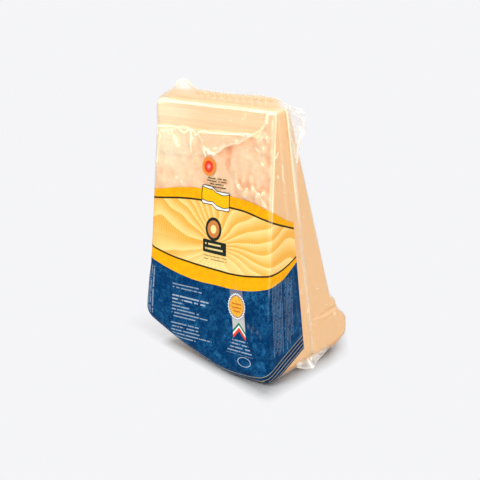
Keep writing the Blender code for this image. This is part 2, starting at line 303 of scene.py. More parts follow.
def baseLift(x, y):
    run = np.maximum(wedge["barrelStart"] - x, 0) / wedge["barrelRun"]
    lift = wedge["barrelRise"] * run ** wedge["barrelPower"] + y * y / (2 * wedge["arcRadius"])
    return np.maximum(lift - wedge["settled"], 0)


def edgeRadius(u, w):
    radius = wedge["leftEdgeRadius"] + (wedge["rightEdgeRadius"] - wedge["leftEdgeRadius"]) * softStep(u)
    top = softStep(1 - (1 - w) * wedge["height"] / wedge["topEdgeZone"]) * softStep(u * 3 + 0.5)
    radius = radius + (wedge["topEdgeRadius"] - radius) * top
    foot = 1 - softStep(w * wedge["height"] / wedge["footEdgeHeight"])
    return radius + (wedge["footEdgeRadius"] - radius) * foot


def ledgeHeight(x):
    s = frontRelief
    wave = sum(tall * np.sin(x / length + start) for tall, length, start in s["ledgeWaves"])
    return s["bandFoot"] + s["ledgeRise"] * softStep((x + 15) / 20) + wave * softStep(-x / 12)


def bandMask(x, z):
    # 1 in the smoothly cut band under the top
    s = frontRelief
    mask = softStep((z - ledgeHeight(x)) / s["bandStep"] + 0.5)
    mask = mask * softStep((s["bandRight"] - x) / s["bandStep"] + 0.5)
    return mask * softStep((wedge["height"] - z) / s["bandTopMargin"])


def frontHeight(x, z):
    s = frontRelief
    p = s["plateau"]
    aboveLedge = softStep((z - ledgeHeight(x)) / s["bandStep"] + 0.5)
    ridge = np.interp(x, *np.array(s["ridge"]).T) + s["ridgeWave"] * np.sin(x / s["ridgeWaveLength"])
    shelf = softStep((z - ridge + s["shelfStep"] / 2) / s["shelfStep"]) * (1 - aboveLedge)
    shelf = shelf * (0.35 + 0.65 * softStep((x - s["shelfFrom"]) / s["shelfFade"]))
    plateau = softStep((x - p["left"] - p["wave"] * np.sin(z / p["waveLength"])) / p["leftFade"])
    plateau = plateau * softStep((z - p["foot"]) / p["footFade"])
    plateau = plateau * (1 - softStep((z - p["top"] - p["slope"] * (x - p["slopeFrom"])) / p["topFade"]))
    plateau = plateau * (1 - softStep((x - p["right"]) / p["rightFade"]))
    offX = (x - s["hollowAt"][0]) / s["hollowRadii"][0]
    offZ = (z - s["hollowAt"][1]) / s["hollowRadii"][1]
    hollow = bell(np.hypot(offX, offZ) - 0.25) * (1 - 0.7 * plateau)
    height = s["shelfProud"] * shelf + s["plateauProud"] * plateau
    height = height - s["hollowDepth"] * hollow - s["bandDepth"] * bandMask(x, z)
    hills = softNoise(x / s["lumpyWidth"], z / s["lumpyHeight"], s["lumpySeed"])
    height = height + s["lumpy"] * hills * (1 - aboveLedge) * softStep((z - s["lumpyFrom"]) / s["lumpyFade"])
    for lumpX, lumpZ, wide, tall, proud in s["lumps"]:
        height = height + proud * bell(np.hypot((x - lumpX) / wide, (z - lumpZ) / tall))
    return height


def crustSwell(x, z):
    uneven = 1 + 0.08 * np.sin(x / 17 + 0.6)
    ledge = crust["ledge"] * softStep((crust["ledgeTop"] - z) / crust["ledgeSpan"])
    swell = crust["swell"] * softStep((crust["swellTop"] - z) / crust["swellSpan"])
    tuck = crust["tuck"] * softStep((crust["tuckTop"] - z) / crust["tuckTop"])
    return (ledge + swell) * uneven - tuck


def sideHeight(y, z):
    line = crust["crackHeight"] + 0.8 * np.sin(y / 5)
    below = softStep((line - z) / crust["crackStep"])
    return crust["crackDepth"] * below * softStep((y - crust["crackFront"]) / crust["crackFade"])


def gridLines(along):
    # places from 0 to 1 along the face, and slopes from -1 to 1 round its two edges
    rounds = wedge["stepsRound"]
    slopes = np.tan(np.linspace(-math.pi / 4, 0, rounds + 1))[:-1]
    flat = np.zeros(rounds)
    places = np.concatenate([flat, along, flat + 1])
    slopes = np.concatenate([slopes, np.zeros(len(along)), -slopes[::-1]])
    return places, slopes


def boxShell(counts):
    # the grid points on the skin of a box of that many lines each way, and its faces turned outwards
    quads = []
    for axis in range(3):
        a, b = (axis + 1) % 3, (axis + 2) % 3
        first, second = np.meshgrid(np.arange(counts[a] - 1), np.arange(counts[b] - 1), indexing="ij")
        for side in (0, counts[axis] - 1):
            corners = []
            for stepA, stepB in ((0, 0), (1, 0), (1, 1), (0, 1)):
                place = [None, None, None]
                place[axis] = np.full(first.shape, side)
                place[a] = first + stepA
                place[b] = second + stepB
                code = (place[0] * counts[1] + place[1]) * counts[2] + place[2]
                corners.append(code.ravel())
            quads.append(np.stack(corners if side else corners[::-1], axis=1))
    quads = np.concatenate(quads)
    codes, faces = np.unique(quads, return_inverse=True)
    places = np.stack([codes // (counts[1] * counts[2]), codes // counts[2] % counts[1], codes % counts[2]])
    return places, faces.reshape(quads.shape)


def wedgeSkin(across, deep, up):
    # the wedge's surface without fine detail: points, normals, and what the later stages need at each point
    lines = [gridLines(np.asarray(along)) for along in (across, deep, up)]
    places, faces = boxShell([len(line[0]) for line in lines])
    u, v, w = (line[0][index] for line, index in zip(lines, places))
    slopeX, slopeY, slopeZ = (line[1][index] for line, index in zip(lines, places))
    radius = edgeRadius(u, w)
    cosFront, cosBack = math.cos(wedge["frontLean"]), math.cos(wedge["backLean"])
    normal = np.zeros((len(u), 3))
    normal[:, 1] += np.abs(slopeY) * np.where(slopeY < 0, -cosFront, cosBack)
    normal[:, 2] += np.abs(slopeY) * np.where(
        slopeY < 0, math.sin(wedge["frontLean"]), math.sin(wedge["backLean"])
    )
    normal[:, 0] += np.abs(slopeX) * np.where(slopeX < 0, -math.cos(wedge["leftFlare"]), 1)
    normal[:, 2] += np.abs(slopeX) * np.where(slopeX < 0, math.sin(wedge["leftFlare"]), 0)
    normal[:, 2] += slopeZ
    normal /= np.linalg.norm(normal, axis=1)[:, None]
    z = radius + w * (wedge["height"] - 2 * radius)
    nearY = frontY(z) + radius / cosFront
    farY = backY(z) - radius / cosBack
    nearX = leftX(z) + radius / math.cos(wedge["leftFlare"])
    inner = np.stack([nearX + u * (wedge["rightX"] - radius - nearX), nearY + v * (farY - nearY), z], axis=1)
    plain = inner + radius[:, None] * normal
    toFront = np.maximum(-normal[:, 1], 0) ** 2
    toBack = np.maximum(normal[:, 1], 0) ** 2
    toRight = np.maximum(normal[:, 0], 0) ** 4
    toLeft = np.maximum(-normal[:, 0], 0) ** 4
    toTop = np.maximum(normal[:, 2], 0) ** 2
    x, y, z = plain.T
    inside = softStep((x - leftX(z)) / frontRelief["leftMargin"])
    inside = inside * softStep((wedge["rightX"] - x) / frontRelief["rightMargin"])
    point = plain.copy()
    rise = frontHeight(x, z) * toFront * inside
    point[:, 1] -= cosFront * rise
    point[:, 2] += math.sin(wedge["frontLean"]) * rise
    point[:, 1] += crustSwell(x, z) * np.maximum(toBack, softStep(v * 3 - 2))
    point[:, 0] += sideHeight(y, z) * toRight
    point[:, 2] += baseLift(point[:, 0], point[:, 1]) * (
        1 - softStep((point[:, 2] - wedge["footEdgeRadius"]) / wedge["liftFade"])
    )
    return {
        "faces": faces,
        "point": point,
        "plain": plain,
        "normal": normal,
        "toFront": toFront,
        "toBack": toBack,
        "toRight": toRight,
        "toLeft": toLeft,
        "toTop": toTop,
        "toFoot": np.maximum(-normal[:, 2], 0) ** 2,
    }


def addMesh(name, points, faces, attributes=()):
    # points in millimetres of the drawing
    mesh = bpy.data.meshes.new(name)
    places = (np.asarray(points) + drawingShift) * mm
    mesh.from_pydata(places.tolist(), [], np.asarray(faces).tolist())
    for label, values in dict(attributes).items():
        kind = "FLOAT_VECTOR" if values.ndim == 2 else "FLOAT"
        layer = mesh.attributes.new(label, kind, "POINT")
        layer.data.foreach_set("vector" if values.ndim == 2 else "value", values.astype(np.float32).ravel())
    mesh.shade_smooth()
    obj = bpy.data.objects.new(name, mesh)
    bpy.context.scene.collection.objects.link(obj)
    return obj


def meshNormals(points, faces):
    # area-weighted normals of a mesh of quads
    a, b, c, d = (points[faces[:, i]] for i in range(4))
    cross = np.cross(c - a, d - b)
    normals = np.zeros_like(points)
    for i in range(4):
        np.add.at(normals, faces[:, i], cross)
    return normals / (np.linalg.norm(normals, axis=1)[:, None] + 1e-12)


def applyModifiers(obj):
    graph = bpy.context.evaluated_depsgraph_get()
    graph.update()
    mesh = bpy.data.meshes.new_from_object(obj.evaluated_get(graph))
    obj.modifiers.clear()
    old = obj.data
    obj.data = mesh
    bpy.data.meshes.remove(old)
    mesh.name = obj.name


def thicken(obj, thickness, offset=-1):
    # film as a closed shell: its thickness goes inwards, or to both sides with offset 0
    modifier = obj.modifiers.new("Thickness", "SOLIDIFY")
    modifier.thickness = thickness * mm
    modifier.offset = offset
    modifier.use_rim = True
    applyModifiers(obj)


# Materials


def tone(red, green, blue):
    # a colour as picked on the screen, for a shader socket
    def linear(value):
        share = value / 255
        return share / 12.92 if share <= 0.04045 else ((share + 0.055) / 1.055) ** 2.4

    return (linear(red), linear(green), linear(blue), 1.0)


def newMaterial(name):
    material = bpy.data.materials.new(name)
    material.use_nodes = True
    material.node_tree.nodes.clear()
    return material, material.node_tree


def addNode(tree, kind, inputs=(), **settings):
    node = tree.nodes.new(kind)
    for key, value in settings.items():
        setattr(node, key, value)
    for key, value in dict(inputs).items():
        socket = node.inputs[key]
        if isinstance(value, bpy.types.NodeSocket):
            tree.links.new(value, socket)
        else:
            socket.default_value = value
    return node


def calc(tree, operation, *values, clamp=False):
    node = addNode(tree, "ShaderNodeMath", dict(enumerate(values)), operation=operation, use_clamp=clamp)
    return node.outputs[0]


def times(tree, first, second, clamp=False):
    return calc(tree, "MULTIPLY", first, second, clamp=clamp)


def plus(tree, first, second, clamp=False):
    return calc(tree, "ADD", first, second, clamp=clamp)


def minus(tree, first, second):
    return calc(tree, "SUBTRACT", first, second)


def blend(tree, share, first, second, mode="MIX"):
    node = addNode(tree, "ShaderNodeMix", data_type="RGBA", blend_type=mode)
    for socket, value in ((node.inputs[0], share), (node.inputs[6], first), (node.inputs[7], second)):
        if isinstance(value, bpy.types.NodeSocket):
            tree.links.new(value, socket)
        else:
            socket.default_value = value
    return node.outputs[2]


def above(tree, value, limit, soft=0.12):
    # 1 where value is over limit, with a soft edge that wide
    off = minus(tree, value, limit)
    return plus(tree, calc(tree, "DIVIDE", off, soft), 0.5, clamp=True)


def between(tree, value, low, high, soft=0.12):
    return times(tree, above(tree, value, low, soft), above(tree, high, value, soft))


def both(tree, *masks):
    result = masks[0]
    for mask in masks[1:]:
        result = times(tree, result, mask)
    return result


def vectorOf(tree, x=0.0, y=0.0, z=0.0):
    return addNode(tree, "ShaderNodeCombineXYZ", {0: x, 1: y, 2: z}).outputs[0]


def placeOf(tree):
    return addNode(tree, "ShaderNodeTexCoord").outputs["Object"]


def attributeOf(tree, name):
    return addNode(tree, "ShaderNodeAttribute", attribute_name=name).outputs["Fac"]


def mixOf(tree, share, first, second):
    return addNode(tree, "ShaderNodeMixShader", {0: share, 1: first, 2: second}).outputs[0]


def noiseOf(tree, vector, scale, detail=2.0, roughness=0.5, distortion=0.0):
    settings = {"Vector": vector, "Scale": scale, "Detail": detail, "Roughness": roughness}
    settings["Distortion"] = distortion
    return addNode(tree, "ShaderNodeTexNoise", settings).outputs[0]


def curveOf(tree, value, points, low, high):
    # height of a smooth line at value; low and high bound both its run and its heights
    span = high - low
    share = calc(tree, "DIVIDE", minus(tree, value, low), span)
    node = addNode(tree, "ShaderNodeFloatCurve", {"Value": share})
    curve = node.mapping.curves[0]
    while len(curve.points) > 2:
        curve.points.remove(curve.points[-1])
    for i, (x, z) in enumerate(points):
        place = ((x - low) / span, (z - low) / span)
        if i < 2:
            curve.points[i].location = place
        else:
            curve.points.new(*place)
    node.mapping.update()
    return plus(tree, times(tree, node.outputs[0], span), low)


def finish(tree, shader):
    addNode(tree, "ShaderNodeOutputMaterial", {"Surface": shader})


cheeseLook = {
    "paste": tone(251, 210, 169),
    "pasteLight": tone(254, 222, 184),
    "pasteDeep": tone(244, 184, 130),
    # colour of the painted sheen on the upper left of the front
    "pale": tone(255, 240, 204),
    # colour of the painted shade in hollows, folds and along edges
    "paintedShade": tone(243, 160, 102),
    "band": tone(251, 219, 172),
    "side": tone(251, 199, 140),
    # colour of the painted shade along the foot of the right side
    "footShadeTone": tone(238, 174, 110),
    # colour of the painted shade in the cracks
    "crack": tone(226, 160, 96),
    "rind": tone(222, 172, 108),
    "rindDeep": tone(196, 140, 82),
    "roughness": 0.5,
    "softness": 0.12,
}


def makeCheesePaste():
    s = cheeseLook
    material, tree = newMaterial("cheesePaste")
    place = placeOf(tree)
    zones = ("cutBand", "rind", "cutSide", "paintedShade", "footShade", "paintedSheen", "crack")
    band, rind, side, paintedShade, foot, pale, crack = (attributeOf(tree, name) for name in zones)
    broad = noiseOf(tree, place, 55, 3)
    fine = noiseOf(tree, place, 420, 4, 0.6)
    paste = blend(tree, times(tree, above(tree, broad, 0.5, 0.35), 0.7), s["paste"], s["pasteLight"])
    paste = blend(tree, times(tree, above(tree, fine, 0.58, 0.2), 0.3), paste, s["pasteDeep"])
    blotches = noiseOf(tree, place, 120, 3, 0.6, 0.6)
    paste = blend(tree, times(tree, above(tree, blotches, 0.56, 0.2), 0.32), paste, s["pasteDeep"])
    # painted shade in the hollows and folds of the front, by its left edge and by its right corner
    paste = blend(tree, times(tree, paintedShade, 0.7), paste, s["paintedShade"])
    paste = blend(tree, times(tree, band, 0.8), paste, s["band"])
    paste = blend(tree, times(tree, side, 0.85), paste, s["side"])
    # painted shade along the foot of the right side
    paste = blend(tree, foot, paste, s["footShadeTone"])
    # painted shade in the cracks of the crust
    paste = blend(tree, times(tree, crack, 0.8), paste, s["crack"])
    # painted sheen: the upper left of the front is paler, standing in for the gloss of a lamp
    paste = blend(tree, times(tree, pale, 0.75), paste, s["pale"])
    # drag marks of the wire in the smooth band
    stretched = addNode(
        tree, "ShaderNodeMapping", {"Vector": place, "Rotation": (0, 0.03, 0), "Scale": (12, 12, 620)}
    ).outputs[0]
    streaks = noiseOf(tree, stretched, 1.0, 3, 0.6)
    drag = both(tree, band, times(tree, above(tree, streaks, 0.55, 0.25), 0.35))
    paste = blend(tree, drag, paste, s["pasteDeep"])
    bark = noiseOf(tree, place, 160, 5, 0.65, 0.4)
    crustTone = blend(tree, above(tree, bark, 0.5, 0.4), s["rind"], s["rindDeep"])
    colour = blend(tree, rind, paste, crustTone)
    grainHeight = plus(tree, times(tree, fine, 0.6), times(tree, both(tree, band, streaks), 0.5))
    bump = addNode(tree, "ShaderNodeBump", {"Height": grainHeight, "Strength": 0.35, "Distance": 0.0006})
    shader = addNode(
        tree,
        "ShaderNodeBsdfPrincipled",
        {
            "Base Color": colour,
            "Roughness": s["roughness"],
            "Subsurface Weight": s["softness"],
            "Subsurface Radius": (1.0, 0.5, 0.25),
            "Subsurface Scale": 0.003,
            "Normal": bump.outputs[0],
        },
    )
    finish(tree, shader.outputs[0])
    return material


filmLook = {
    "gloss": 0.13,
    "index": 1.6,
    "hazeTone": tone(253, 251, 247),
    # colour of the painted cheese tint
    "seenCheeseTone": tone(255, 236, 202),
    # milky white of the creases, also the colour of their painted highlights
    "whiteningGlintTone": tone(255, 252, 224),
    "inkRoughness": 0.24,
    "inkSpecular": 0.04,
}

printLook = {
    "yellow": tone(248, 178, 12),
    "yellowDeep": tone(240, 156, 16),
    "line": tone(52, 40, 22),
    "amber": tone(249, 188, 84),
    "amberDeep": tone(240, 158, 44),
    "cream": tone(255, 226, 152),
    "blue": tone(0, 55, 100),
    "blueDeep": tone(0, 44, 86),
    # colour of the painted glints on the blue
    "blueGlint": tone(38, 110, 158),
    "navy": tone(14, 30, 74),
    "gold": tone(196, 184, 132),
    "gilt": tone(246, 182, 58),
    "giltDeep": tone(196, 112, 44),
    "ribbon": tone(112, 116, 136),
    "ribbonPale": tone(188, 188, 186),
    "pale": tone(196, 214, 226),
    "white": tone(240, 240, 236),
    "dark": tone(34, 44, 38),
    "plaque": tone(250, 188, 20),
    "red": tone(226, 66, 42),
    "orange": tone(244, 142, 62),
    "brown": tone(204, 128, 66),
    "green": tone(30, 120, 82),
    "bandTop": (
        (-100, 120.5), (-80, 121.5), (-53, 124.3), (-30, 128.4), (-11, 130.4), (0, 129.9), (15, 128.5),
        (28, 127.6), (43, 124.6), (52, 121.6), (60, 117.2), (68, 113), (76, 109.6), (100, 100),
    ),
    "upperLine": (
        (-100, 114), (-80, 115.6), (-53, 118.2), (-30, 121), (-11, 122.4), (0, 121.9), (15, 120.7),
        (28, 119.8), (41, 117.2), (50, 115.4), (60, 111.6), (68, 108.6), (76, 105.6), (100, 97),
    ),
    "lowerLine": (
        (-100, 92), (-80, 87.6), (-55, 82.6), (-36, 78.6), (-21, 77.1), (-7, 76.1), (8, 75.4),
        (19, 75.1), (30, 75.8), (40, 77.3), (50, 79), (60, 79.4), (68, 80.8), (76, 83.4),
        (84, 87), (100, 95),
    ),
    "bandFoot": (
        (-100, 84), (-80, 79), (-55, 73.6), (-40, 69.4), (-24, 66.4), (-15, 65), (8, 64.8),
        (16, 64.6), (30, 65.6), (39, 67.3), (50, 70.4), (58, 71.4), (66, 73.2), (76, 78.4),
        (84, 83), (100, 91),
    ),
    "goldLine": (
        (-100, 60), (-60, 36), (-30, 19), (-12, 12), (0, 8), (16.7, 5.3), (31.6, 5),
        (42, 6.4), (51, 8.8), (72, 17.4), (94, 26.3), (100, 28.8),
    ),
    "goldLineGap": 3.3,
    "goldLineHalf": 0.26,
    "lineHalf": 0.65,
    "rayCentre": (3.0, 93.0),
    "sunAt": (4.0, 77.0),
    "sunRadii": (34.0, 12.0),
    "rightEdge": (75.1, 0.2, 110.0),
    "leftEdge": -88.0,
    "cornerCut": (94.3, 14.9, 0.405),
    "footDepth": 12.0,
    # rows of bars: (start, end, lowest, highest), step, height, seed, raggedness, bar length, centred
    "columnRows": ((-73.0, -19.0, 60.6, 84.0), 1.7, 0.85, 2.0, 0.22, 1.8),
    "columnGap": (72.4, 74.4),
    "columnStrength": 0.17,
    "edgeRows": ((34.0, 71.0, 50.5, 58.0), 2.4, 1.2, 7.0, 0.4),
    "edgeStrength": 0.35,
    "plateRows": ((-5.6, 11.2, 87.9, 94.7), 3.4, 1.2, 8.0, 0.1, 6.0),
    "lowRows": ((-7.0, 14.0, 81.0, 85.6), 2.2, 0.7, 12.0, 0.2),
    "dotRows": ((-6.5, 13.0, 131.8, 139.6), 1.9, 0.7, 14.0, 0.4, 2.2, True),
    # the same with the strength first
    "blockRows": (
        (0.5, (-34.2, -3.2, 56.2, 60.4), 2.5, 0.8, 3.0),
        (0.65, (-34.2, 4.4, 46.9, 51.9), 2.5, 1.0, 9.0, 0.3),
        (0.5, (-34.2, 4.4, 34.4, 46.9), 2.5, 0.8, 15.0, 0.75),
        (0.5, (-34.6, 2.6, 19.4, 31.9), 2.5, 0.8, 5.0, 0.6),
        (0.55, (14.6, 38.8, 19.6, 30.6), 2.5, 0.8, 6.0, 0.5, 2.6, True),
    ),
    "ribbonAt": 22.0,
    "ribbonHalf": 5.4,
    "chevron": ((0.0, 1.9, "green"), (1.9, 3.4, "white"), (3.4, 5.8, "red")),
    "rosetteAt": (22.8, 53.2),
    "rosetteRadii": (7.6, 9.8),
    "rosetteBars": ((49.2, 50.2), (51.8, 52.8), (54.4, 55.4)),
    "ringAt": (30.8, 15.2),
    "ringRadii": (5.6, 3.4),
    "medalAt": (1.8, 103.8),
    "medalRadii": (7.0, 8.2),
    "plateAt": (2.7, 91.2),
    "plaqueAt": (2.8, 125.4),
    "plaqueInner": (2.8, 125.7),
    "dotAt": (-3.7, 146.2),
    "dotRadii": (5.8, 6.3),
}


def barRows(tree, along, down, box, step, tall, seed, ragged=0.3, barLength=2.6, centred=False):
    # rows of short plain bars; box is (start, end, lowest, highest)
    start, end, low, high = box
    row = calc(tree, "DIVIDE", minus(tree, high, down), step)
    rowNumber = calc(tree, "FLOOR", row)
    inRow = minus(tree, row, rowNumber)
    bar = between(tree, inRow, 0.5 - tall / 2 / step, 0.5 + tall / 2 / step, 0.15)
    key = calc(tree, "MULTIPLY_ADD", rowNumber, 7.31, seed)
    draw = addNode(tree, "ShaderNodeTexWhiteNoise", {"W": key}, noise_dimensions="1D").outputs[0]
    width = minus(tree, 1.0, times(tree, draw, ragged))
    if centred:
        middle, half = (start + end) / 2, (end - start) / 2
        off = calc(tree, "ABSOLUTE", minus(tree, along, middle))
        inside = above(tree, times(tree, width, half), off)
    else:
        limit = calc(tree, "MULTIPLY_ADD", width, end - start, start)
        inside = both(tree, above(tree, along, start), above(tree, limit, along))
    gaps = noiseOf(tree, vectorOf(tree, calc(tree, "DIVIDE", along, barLength), key), 1.0, 2.0, 0.8)
    return both(tree, bar, inside, above(tree, gaps, 0.43, 0.03), between(tree, down, low, high))


def ellipseOf(tree, along, up, centre, radii):
    # how many radii off the centre, and the angle round it
    offAlong = calc(tree, "DIVIDE", minus(tree, along, centre[0]), radii[0])
    offUp = calc(tree, "DIVIDE", minus(tree, up, centre[1]), radii[1])
    squares = plus(tree, times(tree, offAlong, offAlong), times(tree, offUp, offUp))
    return calc(tree, "SQRT", squares), calc(tree, "ARCTAN2", offUp, offAlong)


def boxOf(tree, along, up, centre, halfWidth, halfHeight, corner, lean):
    # distance outside a box with round corners, whose top and bottom are lifted by lean
    offAlong = calc(tree, "ABSOLUTE", minus(tree, along, centre[0]))
    offUp = calc(tree, "ABSOLUTE", minus(tree, minus(tree, up, centre[1]), lean))
    overAlong = calc(tree, "MAXIMUM", minus(tree, offAlong, halfWidth - corner), 0.0)
    overUp = calc(tree, "MAXIMUM", minus(tree, offUp, halfHeight - corner), 0.0)
    squares = plus(tree, times(tree, overAlong, overAlong), times(tree, overUp, overUp))
    return minus(tree, calc(tree, "SQRT", squares), corner)


def printedInks(tree):
    # colour and cover of the print, on the front unrolled flat: along it, up it, and inwards under the foot
    s = printLook
    sheet = addNode(tree, "ShaderNodeAttribute", attribute_name="sheetMm").outputs["Vector"]
    split = addNode(tree, "ShaderNodeSeparateXYZ", {0: sheet})
    along, up, under = split.outputs

    def line(name):
        return curveOf(tree, along, s[name], -100.0, 160.0)

    bandTop, upperLine, lowerLine, bandFoot = (
        line(name) for name in ("bandTop", "upperLine", "lowerLine", "bandFoot")
    )
    uneven = noiseOf(tree, sheet, 0.22, 3)
    speckle = noiseOf(tree, sheet, 1.1, 3, 0.7)

    # yellow band, round the field
    yellow = blend(tree, times(tree, above(tree, uneven, 0.52, 0.3), 0.6), s["yellow"], s["yellowDeep"])

    # field of rays
    offX = minus(tree, along, s["rayCentre"][0])
    offZ = minus(tree, up, s["rayCentre"][1])
    angle = calc(tree, "ARCTAN2", offZ, offX)
    reach = calc(tree, "SQRT", plus(tree, times(tree, offX, offX), times(tree, offZ, offZ)))
    swirl = noiseOf(tree, sheet, 0.035, 1)
    bent = calc(tree, "MULTIPLY_ADD", calc(tree, "SINE", times(tree, angle, 3.0)), 0.55, 0.0)
    leaf = plus(tree, calc(tree, "MULTIPLY_ADD", angle, 4.0, bent), times(tree, swirl, 1.6))
    share = calc(tree, "FRACT", plus(tree, leaf, 60.0))
    ribs = calc(tree, "SINE", calc(tree, "MULTIPLY_ADD", share, -7.0, times(tree, reach, 3.1)))
    far = above(tree, reach, 18.0, 26.0)
    deep = calc(tree, "MULTIPLY_ADD", share, -0.8, 0.85, clamp=True)
    field = blend(tree, deep, s["amber"], s["amberDeep"])
    ribbed = both(tree, above(tree, ribs, 0.1, 1.4), far, minus(tree, 1.05, share))
    field = blend(tree, ribbed, field, s["amber"])
    field = blend(tree, times(tree, above(tree, share, 0.6, 0.7), 0.75), field, s["cream"])
    field = blend(tree, times(tree, above(tree, speckle, 0.55, 0.3), 0.2), field, s["cream"])
    glow, _ = ellipseOf(tree, along, up, s["sunAt"], s["sunRadii"])
    field = blend(tree, times(tree, above(tree, 0.7, glow, 1.2), 0.75), field, s["cream"])

    # blue field, mottled at random, with painted glints on the crinkles where the film clings
    mottle = noiseOf(tree, sheet, 0.34, 4, 0.65)
    flecks = noiseOf(tree, sheet, 0.62, 3, 0.7, 0.6)
    cloud = noiseOf(tree, sheet, 0.075, 2)
    crinkle = noiseOf(tree, sheet, 0.2, 3, 0.6, 1.2)
    blue = blend(tree, above(tree, mottle, 0.5, 0.35), s["blueDeep"], s["blue"])
    # painted glints: pale flecks, lines and spots on the crinkles
    glintFlecks = times(tree, above(tree, flecks, 0.6, 0.16), above(tree, cloud, 0.46, 0.3))
    blue = blend(tree, times(tree, glintFlecks, 0.55), blue, s["blueGlint"])
    lines = both(tree, between(tree, crinkle, 0.48, 0.52, 0.03), above(tree, cloud, 0.42, 0.3))
    blue = blend(tree, times(tree, lines, 0.4), blue, s["blueGlint"])
    glints = both(tree, above(tree, crinkle, 0.58, 0.1), above(tree, cloud, 0.44, 0.3))
    blue = blend(tree, times(tree, glints, 0.7), blue, s["blueGlint"])

    colour = blend(tree, above(tree, up, bandFoot), blue, yellow)
    colour = blend(tree, above(tree, up, lowerLine), colour, field)
    colour = blend(tree, above(tree, up, upperLine), colour, yellow)
    half = s["lineHalf"]
    onUpper = between(tree, minus(tree, up, upperLine), -half, half, 0.25)
    onLower = between(tree, minus(tree, up, lowerLine), -half, half, 0.25)
    colour = blend(tree, calc(tree, "MAXIMUM", onUpper, onLower), colour, s["line"])

    # navy border with thin gold lines across the lower right corner
    goldLine = line("goldLine")
    drop = minus(tree, goldLine, up)
    border = both(tree, above(tree, drop, -0.4), above(tree, along, 44.0, 14.0))
    colour = blend(tree, times(tree, border, 0.6), colour, s["navy"])
    halfGap = s["goldLineGap"] / 2
    stripes = calc(tree, "PINGPONG", plus(tree, drop, halfGap), halfGap)
    thin = both(tree, above(tree, stripes, halfGap - s["goldLineHalf"], 0.1), above(tree, drop, -0.6))
    shown = above(tree, along, -20.0, 10.0)
    colour = blend(tree, times(tree, both(tree, thin, shown), 0.8), colour, s["gold"])

    # rows of plain bars on the blue: two columns by the right edge, then the blocks, then the left edge
    slant = calc(tree, "MULTIPLY_ADD", up, 0.11, along)
    columns = barRows(tree, times(tree, up, -1.0), slant, *s["columnRows"])
    pale = [(barRows(tree, along, up, *row), strength) for strength, *row in s["blockRows"]]
    pale.append((barRows(tree, up, times(tree, along, -1.0), *s["edgeRows"]), s["edgeStrength"]))
    apart = minus(tree, 1.0, between(tree, slant, *s["columnGap"], 0.3))
    pale.append((both(tree, columns, apart), s["columnStrength"]))
    for bars, strength in pale:
        colour = blend(tree, times(tree, bars, strength), colour, s["pale"])

    # grey ribbon with a plain gilt rosette, and a chevron at its foot
    half = s["ribbonHalf"]
    lean = times(tree, minus(tree, 65.0, up), 0.125)
    across = minus(tree, minus(tree, along, s["ribbonAt"]), lean)
    offAcross = calc(tree, "ABSOLUTE", across)
    notch = calc(tree, "MULTIPLY_ADD", offAcross, -1.1, 42.2)
    ribbon = both(
        tree,
        above(tree, half, offAcross),
        above(tree, bandFoot, up),
        above(tree, up, minus(tree, notch, 5.8)),
    )
    ribbonTone = blend(tree, above(tree, 50.0, up, 12.0), s["ribbon"], s["ribbonPale"])
    colour = blend(tree, ribbon, colour, ribbonTone)
    fall = minus(tree, notch, up)
    for start, end, name in s["chevron"]:
        stripe = both(tree, between(tree, fall, start, end), above(tree, half, offAcross))
        colour = blend(tree, stripe, colour, s[name])
    rosette, turn = ellipseOf(tree, along, up, s["rosetteAt"], s["rosetteRadii"])
    scallop = times(tree, calc(tree, "SINE", times(tree, turn, 28.0)), 0.035)
    rim = plus(tree, rosette, scallop)
    colour = blend(tree, above(tree, 0.98, rim, 0.05), colour, s["ribbon"])
    colour = blend(tree, between(tree, rim, 0.84, 0.93, 0.04), colour, s["white"])
    patina = times(tree, above(tree, noiseOf(tree, sheet, 0.5, 2), 0.52, 0.25), 0.45)
    gilt = blend(tree, patina, s["gilt"], s["giltDeep"])
    for low, high in s["rosetteBars"]:
        bar = both(tree, between(tree, up, low, high, 0.3), above(tree, 0.55, rosette, 0.1))
        gilt = blend(tree, bar, gilt, s["giltDeep"])
    colour = blend(tree, above(tree, 0.76, rosette, 0.05), colour, gilt)
    ring, _ = ellipseOf(tree, along, up, s["ringAt"], s["ringRadii"])
    colour = blend(tree, times(tree, between(tree, ring, 0.9, 1.02, 0.06), 0.7), colour, s["pale"])

    # bare plaque across the upper band, plain rings under it, and a plate with two plain bars
    medal, _ = ellipseOf(tree, along, up, s["medalAt"], s["medalRadii"])
    for limit, name in ((1.0, "dark"), (0.74, "brown"), (0.36, "cream")):
        colour = blend(tree, above(tree, limit, medal, 0.05), colour, s[name])
    tilt = times(tree, minus(tree, along, 2.7), -0.03)
    plate = boxOf(tree, along, up, s["plateAt"], 10.2, 4.6, 0.8, tilt)
    colour = blend(tree, above(tree, 0.0, plate), colour, s["dark"])
    plateBars = barRows(tree, along, up, *s["plateRows"])
    colour = blend(tree, times(tree, plateBars, 0.85), colour, s["cream"])
    lowBars = barRows(tree, along, up, *s["lowRows"])
    colour = blend(tree, times(tree, lowBars, 0.7), colour, s["line"])
    fold = calc(tree, "MULTIPLY_ADD", above(tree, along, 1.8, 4.0), -2.9, 1.4)
    plaque = boxOf(tree, along, up, s["plaqueAt"], 12.2, 6.6, 1.6, fold)
    cover = calc(tree, "MAXIMUM", above(tree, bandTop, up), above(tree, 0.0, plaque))
    colour = blend(tree, above(tree, 0.0, plaque), colour, s["line"])
    colour = blend(tree, above(tree, -0.6, plaque), colour, s["white"])
    bulge = calc(tree, "MULTIPLY_ADD", calc(tree, "SINE", times(tree, along, 0.5)), 0.5, fold)
    inner = boxOf(tree, along, up, s["plaqueInner"], 11.5, 4.0, 0.3, bulge)
    colour = blend(tree, above(tree, 0.6, inner), colour, s["line"])
    colour = blend(tree, above(tree, 0.0, inner), colour, s["plaque"])

